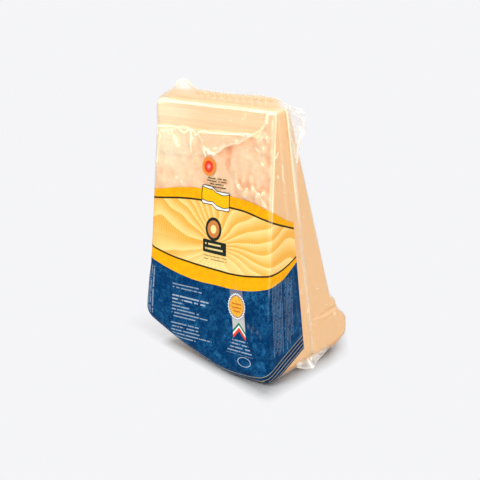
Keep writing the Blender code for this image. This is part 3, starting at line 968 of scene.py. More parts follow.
    # plain two-tone dot on the clear part, with a few short rows of bars under it
    dot, _ = ellipseOf(tree, along, up, s["dotAt"], s["dotRadii"])
    colour = blend(tree, above(tree, 1.0, dot, 0.05), colour, s["orange"])
    colour = blend(tree, above(tree, 0.66, dot, 0.05), colour, s["red"])
    colour = blend(tree, times(tree, above(tree, 0.2, dot, 0.3), 0.35), colour, s["white"])
    cover = calc(tree, "MAXIMUM", cover, above(tree, 1.0, dot, 0.05))
    small = barRows(tree, along, up, *s["dotRows"])
    colour = blend(tree, small, colour, s["line"])
    cover = calc(tree, "MAXIMUM", cover, times(tree, small, 0.75))

    # the print ends on both sides, along the cut corner, and under the foot
    first, slope, height = s["rightEdge"]
    limit = calc(tree, "MULTIPLY_ADD", minus(tree, height, up), slope, first)
    first, height, slope = s["cornerCut"]
    corner = calc(tree, "MULTIPLY_ADD", minus(tree, along, first), slope, height)
    cover = both(
        tree,
        cover,
        above(tree, limit, along),
        above(tree, along, s["leftEdge"]),
        above(tree, up, corner),
        above(tree, s["footDepth"], under),
    )
    return colour, cover


def filmGloss(tree, height, strength, roughness):
    # clear film: what is behind it, a trace of haze, and its gloss
    bump = addNode(tree, "ShaderNodeBump", {"Height": height, "Strength": strength, "Distance": 0.0005})
    normal = bump.outputs[0]
    clear = addNode(tree, "ShaderNodeBsdfTransparent", {"Color": (0.995, 0.995, 0.99, 1)})
    shine = {"Color": (1, 0.98, 0.93, 1), "Roughness": roughness, "Normal": normal}
    gloss = addNode(tree, "ShaderNodeBsdfGlossy", shine)
    fresnel = addNode(tree, "ShaderNodeFresnel", {"IOR": filmLook["index"], "Normal": normal})
    inner = addNode(tree, "ShaderNodeNewGeometry").outputs["Backfacing"]
    # a film's inner wall adds no gloss of its own
    facing = times(tree, calc(tree, "MINIMUM", fresnel.outputs[0], 0.4), minus(tree, 1.0, inner))
    return normal, clear.outputs[0], gloss.outputs[0], facing


def makePrintedFilm():
    s = filmLook
    material, tree = newMaterial("printedFilm")
    colour, cover = printedInks(tree)
    place = placeOf(tree)
    rough = attributeOf(tree, "rough")
    dimples = noiseOf(tree, place, 330, 3, 0.6)
    ripples = noiseOf(tree, place, 120, 2)
    height = both(tree, plus(tree, dimples, times(tree, ripples, 1.4)), rough)
    normal, clear, gloss, facing = filmGloss(tree, height, 0.6, s["gloss"])
    seeThrough = mixOf(tree, facing, clear, gloss)
    ink = addNode(
        tree,
        "ShaderNodeBsdfPrincipled",
        {
            "Base Color": colour,
            "Roughness": s["inkRoughness"],
            "Specular IOR Level": s["inkSpecular"],
            "Normal": normal,
        },
    )
    body = mixOf(tree, cover, seeThrough, ink.outputs[0])
    # milky creases, and painted highlights along edges and folds, fainter over the ink
    whiteningGlint = attributeOf(tree, "whiteningGlint")
    fade = calc(tree, "MULTIPLY_ADD", cover, -0.35, 1.0)
    finish(tree, mixOf(tree, times(tree, whiteningGlint, fade, clamp=True), body, whiteningGlintShader(tree, normal)))
    return material


def whiteningGlintShader(tree, normal):
    # film that is stretched over an edge goes milky; its shine is partly a painted highlight that glows a
    # little of its own
    shader = addNode(
        tree,
        "ShaderNodeBsdfPrincipled",
        {
            "Base Color": filmLook["whiteningGlintTone"],
            "Roughness": 0.25,
            "Specular IOR Level": 0.7,
            "Emission Color": filmLook["whiteningGlintTone"],
            "Emission Strength": 0.3,
            "Normal": normal,
        },
    )
    return shader.outputs[0]


def makeClearFilm():
    material, tree = newMaterial("clearFilm")
    dimples = noiseOf(tree, placeOf(tree), 90, 3, 0.6)
    normal, clear, gloss, facing = filmGloss(tree, dimples, 0.5, filmLook["gloss"])
    body = mixOf(tree, facing, clear, gloss)
    # milky creases and painted highlights on the clear film
    whiteningGlint = attributeOf(tree, "whiteningGlint")
    finish(tree, mixOf(tree, whiteningGlint, body, whiteningGlintShader(tree, normal)))
    return material


def makeCrumpledFilm():
    # the double film of the seam and ears: milky on its folds, with a painted warm tint where it stands over
    # the cheese, for the cheese seen through it and reflected in it
    s = filmLook
    material, tree = newMaterial("crumpledFilm")
    creases = noiseOf(tree, placeOf(tree), 90, 1, 0.5, 0.5)
    _, clear, gloss, facing = filmGloss(tree, creases, 0.1, 0.14)
    fold = attributeOf(tree, "fold")
    seenCheeseTint = attributeOf(tree, "seenCheeseTint")
    colour = blend(tree, seenCheeseTint, s["hazeTone"], s["seenCheeseTone"])
    milk = addNode(tree, "ShaderNodeBsdfTranslucent", {"Color": colour})
    white = addNode(tree, "ShaderNodeBsdfDiffuse", {"Color": colour})
    cloudy = mixOf(tree, 0.5, milk.outputs[0], white.outputs[0])
    # painted highlight: the folds glow a little of their own
    lit = addNode(tree, "ShaderNodeEmission", {"Color": s["hazeTone"], "Strength": times(tree, fold, 0.22)})
    cloudy = addNode(tree, "ShaderNodeAddShader", {0: cloudy, 1: lit.outputs[0]}).outputs[0]
    share = calc(tree, "MULTIPLY_ADD", fold, 0.7, 0.22)
    share = calc(tree, "MULTIPLY_ADD", seenCheeseTint, 0.45, share, clamp=True)
    # the skirt's film fades out where it lies flat on the cheese
    thin = minus(tree, 1.0, attributeOf(tree, "thin"))
    share = times(tree, share, thin)
    facing = times(tree, facing, thin)
    body = mixOf(tree, share, clear, cloudy)
    finish(tree, mixOf(tree, facing, body, gloss))
    return material


def makeCrystalWhite():
    material, tree = newMaterial("crystalWhite")
    colour = blend(tree, noiseOf(tree, placeOf(tree), 300, 2), tone(255, 238, 208), tone(255, 246, 226))
    shader = addNode(tree, "ShaderNodeBsdfPrincipled", {"Base Color": colour, "Roughness": 0.4})
    finish(tree, shader.outputs[0])
    return material


cheesePaste = makeCheesePaste()
printedFilm = makePrintedFilm()
clearFilm = makeClearFilm()
crumpledFilm = makeCrumpledFilm()
crystalWhite = makeCrystalWhite()
print("materials made")

# Cheese

grain = {
    "acrossLines": 104,
    "deepLines": 40,
    "upLines": 190,
    "underFilm": 0.45,
    "broken": 0.35,
    "cut": 0.08,
    "rind": 0.25,
}


def hollowShadeOf(x, z):
    # 1 deep in a fold or hollow of the front, where painted shade makes the paste darker and warmer
    around = 0
    for reach in (2.5, 5.0):
        for turn in np.arange(8) * math.pi / 4:
            around = around + frontHeight(x + reach * np.cos(turn), z + reach * np.sin(turn)) / 16
    return softStep((around - frontHeight(x, z)) / 0.65)


# Cracks along the crust on the right side, darkened by painted shade: path of (y, z), half width, strength
cracks = (
    (
        ((9.1, 31.1), (16.2, 30.7), (19.5, 29.6), (23.3, 29.1), (27, 29.9), (30.6, 29.7), (36.5, 30.5),
         (42.4, 31.6)),
        0.7, 0.9,
    ),
    (((16.2, 32.8), (23.3, 33.7), (30.6, 34.5), (40.5, 34.7)), 0.7, 1.0),
    (((12, 29.2), (15, 28.4)), 0.5, 0.5),
    (((33, 27.6), (37, 28.2)), 0.5, 0.4),
)


def crackOf(y, z):
    deep = np.zeros(len(y))
    for path, wide, strength in cracks:
        deep = np.maximum(deep, strength * np.exp(-((pathDistance(y, z, path) / wide) ** 2)))
    return deep * (0.7 + 0.3 * softNoise(y / 1.7, z / 1.7, 14))


def makeCheese():
    s = grain
    skin = wedgeSkin(*(np.linspace(0, 1, s[name] + 1) for name in ("acrossLines", "deepLines", "upLines")))
    point, plain, faces = skin["point"], skin["plain"], skin["faces"]
    normals = meshNormals(point, faces)
    x, y, z = plain.T
    band = bandMask(x, z) * skin["toFront"]
    broken = skin["toFront"] * (1 - band)
    rind = np.clip(skin["toLeft"] + skin["toFoot"], 0, 1)
    # shade under the shelf's edge, deepest at the hollow
    drop = np.interp(x, *np.array(frontRelief["ridge"]).T) - z
    underRidge = 0.6 * np.exp(-(((drop - 3.2) / 2.6) ** 2)) * softStep((x - 2) / 8) * softStep((44 - x) / 8)
    underRidge = underRidge + 0.35 * np.exp(-(((x - 9) / 6) ** 2) - ((z - 151) / 7) ** 2)
    footLine = 6.2 + np.maximum(y - 16, 0) ** 2 * 0.0066
    cornerShade = softStep((x - 40) / 5) * softStep((z - 112) / 10)
    # painted shade: in the hollows, along the left edge, in a strip by the right corner, and under the shelf
    shade = hollowShadeOf(x, z) + 0.4 * softStep((-44 - x) / 6) + 0.25 * cornerShade + underRidge
    # crumbs and small breaks, deepest on the broken front
    coarse = softNoise((x + y) / 3.1, (z - y) / 3.1, 11) + 0.6 * softNoise((x - y) / 1.5, (z + y) / 1.5, 12)
    fine = softNoise((x + y) / 0.9, (z - y) / 0.9, 13)
    depth = s["broken"] * broken + s["cut"] * (1 - broken) + s["rind"] * rind
    sunk = s["underFilm"] + depth * np.clip(0.9 + 0.6 * coarse + 0.3 * fine, 0, 2)
    cheese = addMesh(
        "cheeseWedge",
        point - normals * sunk[:, None],
        faces,
        {
            "cutBand": band,
            "rind": rind * 0.9,
            "cutSide": skin["toRight"],
            # painted shade, on the broken front only
            "paintedShade": np.clip(shade, 0, 1) * broken,
            # painted shade along the foot of the right side
            "footShade": softStep((footLine - point[:, 2]) / 2.5 + 0.5) * softStep((x - 20) / 10),
            # painted shade in the cracks of the crust
            "crack": crackOf(y, z) * skin["toRight"],
            # painted sheen on the upper left of the front
            "paintedSheen": softStep((-8 - x) / 34) * softStep((z - 128) / 26) * skin["toFront"],
        },
    )
    cheese.data.materials.append(cheesePaste)
    return cheese


cheese = makeCheese()
print("cheese made")

# Film

film = {
    "acrossLines": 135,
    "deepLines": 36,
    "coarseUp": 42,
    "fineUp": 146,
    "fineFrom": 0.6,
    "thickness": 0.12,
    "foldHeight": 0.8,
    "whiteningGlintScale": 0.7,
    "overBroken": 0.16,
    "overCut": 0.02,
    "pull": 0.12,
}


def filmSkin():
    # the film over the cheese: close on it, lifted into folds and into a tent along the seam
    s = film
    up = np.concatenate(
        [
            np.linspace(0, s["fineFrom"], s["coarseUp"], endpoint=False),
            np.linspace(s["fineFrom"], 1, s["fineUp"]),
        ]
    )
    skin = wedgeSkin(np.linspace(0, 1, s["acrossLines"]), np.linspace(0, 1, s["deepLines"]), up)
    plain, faces = skin["plain"], skin["faces"]
    x, y, z = plain.T
    # where each point falls on the flat print
    reach = np.maximum(y - frontY(z), 0)
    along = np.where(skin["toFront"] > 0.999, x, x + np.where(x > 0, reach, -reach))
    foot = skin["toFoot"] > 0.5
    along = np.where(foot, x, along)
    under = np.where(foot, reach - 4, 0)
    lift, whiteningGlint = np.zeros(len(x)), np.zeros(len(x))
    corner = np.clip(skin["toFront"] + skin["toRight"] + 0.3, 0, 1) * (skin["normal"][:, 2] < 0.8)
    corner = corner * (skin["toBack"] < 0.01)
    for folds, first, cover in (
        (frontFolds, x, skin["toFront"]),
        (cornerFolds, along, corner),
        (sideFolds, y, skin["toRight"]),
    ):
        for path, height, wide, white in folds:
            # whiteness of each fold, partly painted highlight
            profile = np.exp(-((pathDistance(first, z, path) / (0.85 * wide)) ** 2)) * cover
            lift += s["foldHeight"] * height * profile
            whiteningGlint = np.maximum(whiteningGlint, np.minimum(s["whiteningGlintScale"] * white, 1) * profile)
    band = bandMask(x, z)
    broken = skin["toFront"] * (1 - band) * softStep((z - 108) / 30)
    rough = s["overCut"] + s["overBroken"] * broken
    crumbs = softNoise((x + y) / 3.1, (z - y) / 3.1, 11) + 0.7 * softNoise((x - y) / 1.7, (z + y) / 1.7, 12)
    lift += rough * crumbs
    lift += 0.1 * softNoise(x / 7, z / 7 + y / 9, 21) * skin["toFront"]
    # pulled creases running from the left edge of the front
    pulled = np.exp(-(((x + 47) / 5) ** 2)) * softStep((z - 120) / 20)
    lift += s["pull"] * pulled * softNoise(x / 9, (z - 0.5 * x) / 1.6, 22)
    # the painted glints run along the broken places, and break up along their way
    whiteningGlint *= 0.75 + 0.25 * softNoise(x / 2.3 + y / 2.1, z / 2.3, 23)
    offSeam = np.abs(y - seamY(z))
    edgeOn = np.clip(skin["toRight"] + skin["toLeft"] + skin["toTop"], 0, 1)
    lift += seam["tentHeight"] * np.exp(-offSeam / seam["tentRun"]) * edgeOn
    # milky line along the seam's root on the right side, partly painted highlight
    root = np.exp(-(((offSeam - 0.9) / 0.6) ** 2)) * skin["toRight"] * (0.1 + 0.35 * softStep((z - 95) / 40))
    whiteningGlint = np.maximum(whiteningGlint, root)
    # painted highlight along the rounded top edge of the front, where its slope would face the lamp
    topEdgeHighlight = np.exp(-(((skin["normal"][:, 2] - 0.62) / 0.16) ** 2)) * (y < seamY(z)) * (z > 150)
    topEdgeHighlight = topEdgeHighlight * (0.55 + 0.3 * softNoise(x / 12, z, 24)) * softStep((44 - x) / 4)
    whiteningGlint = np.maximum(whiteningGlint, topEdgeHighlight)
    normals = meshNormals(skin["point"], faces)
    point = skin["point"] + normals * lift[:, None]
    point[:, 2] = np.maximum(point[:, 2], 0.02)
    sheet = np.stack([along, point[:, 2], under], axis=1)
    roughness = 0.12 + 0.88 * np.clip(broken, 0, 1) + 0.1 * band
    return point, faces, {"sheetMm": sheet, "rough": roughness, "whiteningGlint": whiteningGlint}


def halfOf(name, whole, keepFront):
    # the part of the film on one side of the seam's plane
    half = whole.copy()
    half.data = whole.data.copy()
    half.name = name
    bpy.context.scene.collection.objects.link(half)
    work = bmesh.new()
    work.from_mesh(half.data)
    place = Vector((0, seam["yAtTop"], wedge["height"])) + Vector(drawingShift)
    across = Vector((0, 1, seam["lean"])).normalized()
    bmesh.ops.bisect_plane(
        work,
        geom=work.verts[:] + work.edges[:] + work.faces[:],
        plane_co=place * mm,
        plane_no=across,
        clear_outer=keepFront,
        clear_inner=not keepFront,
    )
    work.to_mesh(half.data)
    work.free()
    half.data.shade_smooth()
    thicken(half, film["thickness"])
    return half


wholeFilm = addMesh("wholeFilm", *filmSkin())
frontFilm = halfOf("frontFilm", wholeFilm, True)
frontFilm.data.materials.append(printedFilm)
backFilm = halfOf("backFilm", wholeFilm, False)
backFilm.data.materials.append(clearFilm)
bpy.data.objects.remove(wholeFilm)
print("films made")

# Welded seam with its ears

# (outer x, outer z, root x, root z) round the wedge, clockwise from the foot of the left side
seamCorners = (
    [(float(leftX(z)) - 2.5, z, float(leftX(z)) + 0.8, z) for z in (34, 52, 90, 130, 160)]
    + [
        (-57.5, 176, -53.4, 175),
        (-62, 183, -53, 181),
        (-60.5, 186.5, -52, 184),
        (-54, 190.5, -49, 186.5),
        (-47, 193.4, -46, 187),
        (-43.8, 196, -42.5, 187),
        (-43, 198.6, -40, 187),
        (-39.4, 200.4, -37.5, 187),
        (-34.4, 202.2, -34.5, 187),
        (-32, 200.4, -32, 187),
        (-29.5, 197, -29.5, 187),
        (-23, 195, -23, 187),
        (5, 194.5, 5, 187),
        (30, 195.5, 30, 187),
        (44, 194.5, 41, 187),
        (52.5, 190.5, 46, 186.4),
        (63, 189, 48.6, 183.5),
        (65.5, 181, 49.2, 178),
        (64, 174.5, 49.2, 173),
        (60.5, 168.5, 49.2, 167),
        (57, 161, 49.2, 160),
        (54, 150, 49.2, 149),
        (52.4, 135, 49.2, 135),
        (51.6, 118, 49.2, 118),
        (51.6, 60, 49.2, 60),
        (51.8, 9, 49.2, 9),
        (50, 1.4, 45, 2.2),
    ]
    + [
        (x, max(float(baseLift(x, seamY(0))) - 1.5, 0.6), x, float(baseLift(x, seamY(0))) + 1.2)
        for x in (24, 8, -4, -14, -24, -34, -44, -51)
    ]
)

# Folds and painted glints of the two ears: path of (x, z), half width, whiteness
earFolds = (
    (((42, 195.2), (49.3, 193), (57.1, 191), (62, 188.2), (63.6, 186)), 0.5, 0.5),
    (((58.3, 190), (62.6, 187.7), (60.4, 185.9)), 0.7, 0.9),
    (((52.9, 190), (56.3, 185), (61.4, 183.2), (63.1, 181.1)), 0.6, 0.8),
    (
        ((62.8, 183), (63.4, 178.9), (62.8, 173.1), (59.4, 169.8), (57.6, 166.7), (55.6, 160.6),
         (54.2, 152)),
        0.6, 0.8,
    ),
    (((59.2, 176), (61.8, 173), (59.7, 170.4)), 1.3, 1.0),
    (((57.4, 187), (61.8, 187.2)), 1.1, 0.8),
    (((49.4, 187.6), (50.2, 180.8), (50.6, 172.7), (52.6, 165), (53.2, 155)), 0.5, 0.5),
    (((53.1, 181.2), (54.8, 173.3), (55.8, 166)), 0.5, 0.6),
    (((-42.8, 196.3), (-42.4, 197.8), (-39.6, 199.6), (-34.5, 201.2), (-32.6, 199.5)), 0.9, 0.45),
    (((-40.2, 196.3), (-36.6, 198.4), (-32.9, 198.8), (-31, 197.1)), 0.6, 0.4),
)

seamFilm = {
    "step": 0.9,
    "rows": 15,
    "thickness": 0.25,
    "smoothing": 2,
    "crumple": 3.2,
    "foldRise": 0.7,
    "ripple": 0.22,
    "pleatLength": 6.1,
}


def makeSeam():
    s = seamFilm
    corners = np.array(list(seamCorners) + [seamCorners[0]], float)
    runs = np.hypot(*(corners[1:, :2] - corners[:-1, :2]).T)
    ends = np.concatenate([[0], np.cumsum(runs)])
    count = int(ends[-1] / s["step"])
    walk = np.linspace(0, ends[-1], count, endpoint=False)
    path = np.stack([np.interp(walk, ends, corners[:, i]) for i in range(4)], axis=1)
    for _ in range(s["smoothing"]):
        path = (np.roll(path, 1, 0) + 2 * path + np.roll(path, -1, 0)) / 4
    wide = np.hypot(path[:, 0] - path[:, 2], path[:, 1] - path[:, 3])
    ear = softStep((wide - 7.6) / 6)
    share = np.linspace(0, 1, s["rows"])[None, :]
    x = path[:, 2:3] + (path[:, 0:1] - path[:, 2:3]) * share
    z = path[:, 3:4] + (path[:, 1:2] - path[:, 3:4]) * share
    way = walk[:, None] + 0 * share
    out = share * wide[:, None]
    ears = ear[:, None]
    onTop = softStep((path[:, 1:2] - 182) / 5) * softStep((48 - x) / 6)
    tip = np.exp(-(((x + 37) / 7.5) ** 2)) * softStep((z - 192.5) / 3)
    pleated = softStep((x + 28) / 14) * softStep((42 - x) / 10)
    wander = softNoise(way / 9, share, 35)
    pleats = np.sin(2 * math.pi * way / s["pleatLength"] + 2.0 * share + wander) * pleated
    lines = 0 * x
    for line, width, white in earFolds:
        lines = np.maximum(lines, white * np.exp(-((pathDistance(x, z, line) / width) ** 2)))
    waves = softNoise(way / 9.0, out / 9.0, 31)
    off = s["crumple"] * ears * waves * share - s["foldRise"] * lines
    off = off + s["ripple"] * softNoise(way / 6.0, out / 5.0, 34) * share
    off = off + 0.25 * onTop * pleats * np.sin(math.pi * share)
    # the ears' rims are torn and folded a little, never past the CAD's outline
    ragged = 0.7 * ears * (softNoise(way / 4.0, 0 * way, 33) - 0.6) * share**2
    x = x + ragged * np.sign(x)
    y = seamY(z) + off
    points = np.stack([x, y, z], axis=2)
    toRim = (1 - share) * wide[:, None]
    rim = softStep((1.1 - toRim) / 0.7)
    # whiteness of the folds, rims and ear tip, partly painted highlight
    fold = lines + (0.08 * (1 - onTop) + 0.2 * ears) * rim + 0.12 * (1 - ears) * (1 - onTop) + 0.5 * tip
    ridges = 0.2 * onTop * softStep((pleats - 0.3) / 0.7)
    fold = fold + ridges * softStep(share * 3) * softStep((1 - share) * 4)
    fold = np.clip(fold, 0, 1)
    # painted tint over the cheese top and at the ears' roots, for the cheese seen through the film and
    # reflected in it
    seenCheeseTint = np.clip(onTop * (1 - 0.5 * rim) * (1 - tip) + 0.3 * ears * (1 - softStep(share / 0.3)), 0, 1)
    rows = s["rows"]
    faces = []
    for i in range(count):
        j = (i + 1) % count
        for k in range(rows - 1):
            faces.append((i * rows + k, j * rows + k, j * rows + k + 1, i * rows + k + 1))
    zones = {"fold": fold.ravel(), "seenCheeseTint": seenCheeseTint.ravel()}
    obj = addMesh("seamFilm", points.reshape(-1, 3), faces, zones)
    thicken(obj, s["thickness"], 0)
    obj.data.materials.append(crumpledFilm)
    return obj


seamPiece = makeSeam()

# Skirt of film at the foot of the right side

skirt = {
    "top": 8.5,
    "reach": (
        (-14.0, 0.1), (-10.0, 1.0), (-5.0, 3.8), (-1.0, 6.3), (3.0, 5.6),
        (7.0, 3.2), (12.0, 1.6), (20.0, 0.9), (32.0, 0.1),
    ),
    "foot": ((-14.0, 4.2), (-10.0, 2.4), (-5.0, 0.6), (-1.0, 0.35), (10.0, 0.4), (20.0, 2.2), (32.0, 5.5)),
    "thickness": 0.3,
    "wrinkle": 0.5,
    "steps": 70,
    "rows": 12,
}


def makeSkirt():
    s = skirt
    ys, reaches = np.array(s["reach"]).T
    y = np.linspace(ys[0], ys[-1], s["steps"])[:, None]
    share = np.linspace(0, 1, s["rows"])[None, :]
    reach = np.interp(y, ys, reaches)
    foot = np.interp(y, *np.array(s["foot"]).T)
    z = s["top"] + (foot - s["top"]) * share
    x = 50.15 + reach * share**1.4
    rays = softNoise((y - 1) / (1.6 + 2.5 * share) + 9, share * 1.5 + 0 * y, 41)
    x = x + s["wrinkle"] * rays * np.sin(math.pi * np.clip(share, 0, 1)) + 0 * y
    x = np.maximum(x, 50.1)
    points = np.stack([x, y + 0 * share, np.maximum(z, 0.3)], axis=2).reshape(-1, 3)
    thin = 1 - softStep((share - 0.05) / 0.5) * softStep((y + 14) / 4) * softStep((32 - y) / 12)
    spoke = np.exp(-(((y - 0.5 + 1.2 * share) / 0.9) ** 2))
    fold = np.clip(0.35 * np.exp(-((rays / 0.25) ** 2)) + 0.8 * spoke + 0.3 * softStep(share * 5 - 4), 0, 1)
    # a painted glint spot low on the skirt
    fold = np.clip(fold + 0.2 + np.exp(-(((y - 4) / 1.2) ** 2) - ((z - 5) / 1.2) ** 2), 0, 1)
    # painted cheese tint at the top of the skirt
    seenCheeseTint = 0.7 * (1 - softStep(share / 0.8)) + 0 * y
    rows = s["rows"]
    faces = [
        (i * rows + k, i * rows + k + 1, (i + 1) * rows + k + 1, (i + 1) * rows + k)
        for i in range(s["steps"] - 1)
        for k in range(rows - 1)
    ]
    zones = {"fold": fold.ravel(), "seenCheeseTint": seenCheeseTint.ravel(), "thin": thin.ravel()}
    obj = addMesh("footSkirt", points, [face[::-1] for face in faces], zones)
    thicken(obj, s["thickness"], 0)
    obj.data.materials.append(crumpledFilm)
    return obj


skirtPiece = makeSkirt()
print("seam and skirt made")

# Crystals in the paste and weld marks on the seam, by Geometry Nodes


def nodeTree(name, inputs):
    tree = bpy.data.node_groups.new(name, "GeometryNodeTree")
    tree.interface.new_socket("Geometry", in_out="INPUT", socket_type="NodeSocketGeometry")
    for label, kind, value in inputs:
        socket = tree.interface.new_socket(label, in_out="INPUT", socket_type=kind)
        if value is not None:
            socket.default_value = value
    tree.interface.new_socket("Geometry", in_out="OUTPUT", socket_type="NodeSocketGeometry")
    return tree, addNode(tree, "NodeGroupInput"), addNode(tree, "NodeGroupOutput")


def runTree(name, source, tree, values):
    # the tree's result on source, as a plain mesh object of its own
    obj = source.copy()
    obj.data = source.data.copy()
    obj.name = name
    bpy.context.scene.collection.objects.link(obj)
    modifier = obj.modifiers.new(tree.name, "NODES")
    modifier.node_group = tree
    sockets = {item.name: item.identifier for item in tree.interface.items_tree if item.in_out == "INPUT"}
    for label, value in values.items():
        modifier[sockets[label]] = value
    applyModifiers(obj)
    return obj


crystals = {
    "Density": 5200.0,
    "Size": 0.001,
    "Seed": 7,
}


def crystalTree():
    tree, given, result = nodeTree(
        "crystalScatter",
        (
            ("Density", "NodeSocketFloat", 5000.0),
            ("Size", "NodeSocketFloat", 0.0008),
            ("Seed", "NodeSocketInt", 7),
            ("Material", "NodeSocketMaterial", None),
        ),
    )
    rind = addNode(tree, "GeometryNodeInputNamedAttribute", {"Name": "rind"}, data_type="FLOAT")
    bare = addNode(
        tree, "FunctionNodeCompare", {0: rind.outputs[0], 1: 0.1}, data_type="FLOAT", operation="LESS_THAN"
    )
    points = addNode(
        tree,
        "GeometryNodeDistributePointsOnFaces",
        {
            "Mesh": given.outputs["Geometry"],
            "Selection": bare.outputs[0],
            "Density": given.outputs["Density"],
            "Seed": given.outputs["Seed"],
        },
    )
    stone = addNode(tree, "GeometryNodeMeshIcoSphere", {"Radius": 0.5, "Subdivisions": 1})
    size = addNode(
        tree, "FunctionNodeRandomValue", {2: 0.45, 3: 1.3, "Seed": given.outputs["Seed"]}, data_type="FLOAT"
    )
    grow = addNode(
        tree, "ShaderNodeMath", {0: size.outputs[1], 1: given.outputs["Size"]}, operation="MULTIPLY"
    )
    scale = addNode(tree, "ShaderNodeCombineXYZ", {socket: grow.outputs[0] for socket in range(3)})
    spread = addNode(
        tree,
        "GeometryNodeInstanceOnPoints",
        {
            "Points": points.outputs["Points"],
            "Instance": stone.outputs[0],
            "Rotation": points.outputs["Rotation"],
            "Scale": scale.outputs[0],
        },
    )
    real = addNode(tree, "GeometryNodeRealizeInstances", {0: spread.outputs[0]})
    paint = {"Geometry": real.outputs[0], "Material": given.outputs["Material"]}
    painted = addNode(tree, "GeometryNodeSetMaterial", paint)
    tree.links.new(painted.outputs[0], result.inputs[0])
    return tree


crystalPiece = runTree("cheeseCrystals", cheese, crystalTree(), {**crystals, "Material": crystalWhite})

weldMarks = {
    "Spacing": 0.0061,
    "Height": 0.003,
    "Width": 0.0044,
    "Swell": 0.0009,
}
weldPath = ((-24.0, 192.4), (-12.0, 192.1), (8.0, 192.1), (37.0, 192.8))


def weldTree():
    tree, given, result = nodeTree(
        "weldMarks",
        (
            ("Spacing", "NodeSocketFloat", 0.006),
            ("Height", "NodeSocketFloat", 0.004),
            ("Width", "NodeSocketFloat", 0.005),
            ("Swell", "NodeSocketFloat", 0.001),
            ("Material", "NodeSocketMaterial", None),
        ),
    )
    line = addNode(tree, "GeometryNodeMeshToCurve", {"Mesh": given.outputs["Geometry"]})
    run = {"Curve": line.outputs[0], "Length": given.outputs["Spacing"]}
    steps = addNode(tree, "GeometryNodeResampleCurve", run, mode="LENGTH")
    blister = addNode(tree, "GeometryNodeMeshUVSphere", {"Segments": 14, "Rings": 8, "Radius": 0.5})
    size = addNode(
        tree,
        "ShaderNodeCombineXYZ",
        {0: given.outputs["Width"], 1: given.outputs["Swell"], 2: given.outputs["Height"]},
    )
    spread = addNode(
        tree,
        "GeometryNodeInstanceOnPoints",
        {"Points": steps.outputs[0], "Instance": blister.outputs[0], "Scale": size.outputs[0]},
    )
    real = addNode(tree, "GeometryNodeRealizeInstances", {0: spread.outputs[0]})
    # the weld marks carry the painted cheese tint as well
    warmTinted = addNode(
        tree, "GeometryNodeStoreNamedAttribute", {"Geometry": real.outputs[0], "Name": "seenCheeseTint", "Value": 0.9}
    )
    smooth = addNode(tree, "GeometryNodeSetShadeSmooth", {0: warmTinted.outputs[0]})
    paint = {"Geometry": smooth.outputs[0], "Material": given.outputs["Material"]}
    painted = addNode(tree, "GeometryNodeSetMaterial", paint)
    tree.links.new(painted.outputs[0], result.inputs[0])
    return tree


def makeWeldMarks():
    mesh = bpy.data.meshes.new("weldPath")
    places = [(np.array([x, float(seamY(z)) - 0.2, z]) + drawingShift) * mm for x, z in weldPath]
    mesh.from_pydata([place.tolist() for place in places], [(i, i + 1) for i in range(len(places) - 1)], [])
    guide = bpy.data.objects.new("weldPath", mesh)
    bpy.context.scene.collection.objects.link(guide)
    obj = runTree("weldBlisters", guide, weldTree(), {**weldMarks, "Material": crumpledFilm})
    bpy.data.objects.remove(guide)
    return obj


weldPiece = makeWeldMarks()
print("crystals and weld marks made")

# Studio

studio = {
    "floorRadius": 9.0,
    # tone of the painted shadow patch round the foot
    "shadowPatchTone": 0.4,
    "patchFront": 0.0468,
    "patchSkew": 0.302,
    "patchRight": 0.0565,
    "patchLeft": -0.068,
    "patchCorner": 0.076,
    "patchBack": 0.075,
    "backdrop": tone(245, 245, 247),
    "sky": 0.55,
    "keyFrom": (-0.35, -1.0, 1.0),
    "keyStrength": 1.85,
    "keyAngle": 24.0,
    "topFrom": (0.3, 0.1, 1.6),
    "topStrength": 0.75,
    "topAngle": 50.0,
    "sideFrom": (1.0, -0.3, 0.55),
    "sideStrength": 1.4,
    "sideAngle": 40.0,
    "backFrom": (-0.8, 1.0, 0.6),
    "backStrength": 0.65,
    "backAngle": 50.0,
    "lens": 82.5,
    "target": (-8.24, -4.92, 84.28),
    "eye": (458.5, -599.0, 316.8),
    "roll": -0.0244,
}


def makeFloor():
    floor = bmesh.new()
    bmesh.ops.create_circle(floor, cap_ends=True, segments=96, radius=studio["floorRadius"])
    bmesh.ops.translate(floor, verts=floor.verts, vec=(0, 0, -0.0002))
    mesh = bpy.data.meshes.new("floor")
    floor.to_mesh(mesh)
    floor.free()
    obj = bpy.data.objects.new("floor", mesh)
    bpy.context.scene.collection.objects.link(obj)
    material, tree = newMaterial("floorPaper")
    value = studio["shadowPatchTone"]
    paper = addNode(tree, "ShaderNodeBsdfDiffuse", {"Color": (value, value, value * 1.012, 1)})
    lit = addNode(tree, "ShaderNodeEmission", {"Color": studio["backdrop"], "Strength": 1.0})
    # the floor shines like the backdrop, but for a patch round the foot that takes the short shadow; the
    # patch is darker diffuse paper, so it is also painted shadow, fainter off to the left
    split = addNode(tree, "ShaderNodeSeparateXYZ", {0: placeOf(tree)})
    across, away = split.outputs[0], split.outputs[1]
    ahead = calc(tree, "MULTIPLY_ADD", across, -studio["patchSkew"], times(tree, away, -1.0))
    faintShadow = times(tree, above(tree, across, -0.1, 0.05), 0.35)
    shadowPatch = both(
        tree,
        above(tree, studio["patchFront"], ahead, 0.012),
        above(tree, studio["patchRight"], across, 0.015),
        above(tree, studio["patchCorner"], calc(tree, "MULTIPLY_ADD", away, 0.72, across), 0.02),
        above(tree, studio["patchBack"], away, 0.04),
        calc(tree, "MAXIMUM", faintShadow, above(tree, across, studio["patchLeft"], 0.016)),
    )
    finish(tree, mixOf(tree, shadowPatch, lit.outputs[0], paper.outputs[0]))
    mesh.materials.append(material)
    obj.visible_glossy = False
    return obj


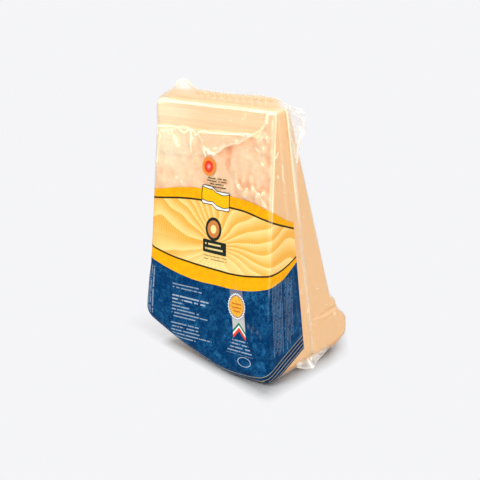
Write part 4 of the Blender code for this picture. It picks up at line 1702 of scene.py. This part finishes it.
def makeSun(name):
    light = bpy.data.lights.new(name + "Light", "SUN")
    light.energy = studio[name + "Strength"]
    light.angle = math.radians(studio[name + "Angle"])
    lamp = bpy.data.objects.new(name + "Light", light)
    lamp.rotation_euler = Vector(studio[name + "From"]).to_track_quat("Z", "Y").to_euler()
    bpy.context.scene.collection.objects.link(lamp)


def makeWorld():
    world = bpy.data.worlds.new("studioAir")
    bpy.context.scene.world = world
    world.use_nodes = True
    tree = world.node_tree
    tree.nodes.clear()
    sky = addNode(tree, "ShaderNodeTexCoord").outputs["Generated"]
    height = addNode(tree, "ShaderNodeSeparateXYZ", {0: sky})
    glow = calc(tree, "MULTIPLY_ADD", above(tree, height.outputs[2], 0.35, 0.9), 0.85, 0.15)
    rays = addNode(tree, "ShaderNodeLightPath")
    mirrored = calc(tree, "MULTIPLY_ADD", above(tree, height.outputs[2], 0.3, 0.9), 0.45, 0.5)
    shares = {0: rays.outputs["Is Glossy Ray"], 2: times(tree, glow, studio["sky"]), 3: mirrored}
    strength = addNode(tree, "ShaderNodeMix", shares)
    soft = addNode(tree, "ShaderNodeBackground", {"Color": (1, 1, 1, 1), "Strength": strength.outputs[0]})
    seen = addNode(tree, "ShaderNodeBackground", {"Color": studio["backdrop"], "Strength": 1.0})
    mixed = mixOf(tree, rays.outputs["Is Camera Ray"], soft.outputs[0], seen.outputs[0])
    addNode(tree, "ShaderNodeOutputWorld", {"Surface": mixed})


def makeCamera():
    data = bpy.data.cameras.new("camera")
    data.lens = studio["lens"]
    data.sensor_width = 36.0
    data.clip_start = 0.01
    data.clip_end = 50.0
    camera = bpy.data.objects.new("camera", data)
    eye = Vector(studio["eye"]) * mm
    ahead = Vector(studio["target"]) * mm - eye
    turn = ahead.to_track_quat("-Z", "Y").to_matrix().to_4x4() @ Matrix.Rotation(studio["roll"], 4, "Z")
    camera.matrix_world = Matrix.Translation(eye) @ turn
    bpy.context.scene.collection.objects.link(camera)
    bpy.context.scene.camera = camera


floor = makeFloor()
for sun in ("key", "top", "side", "back"):
    makeSun(sun)
makeWorld()
makeCamera()
bpy.context.scene.view_settings.view_transform = "Standard"
print("studio set")

# Hand over to the frame

for piece in (cheese, crystalPiece, frontFilm, backFilm, seamPiece, weldPiece, skirtPiece):
    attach(piece, "root")
    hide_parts("packed_wedge")
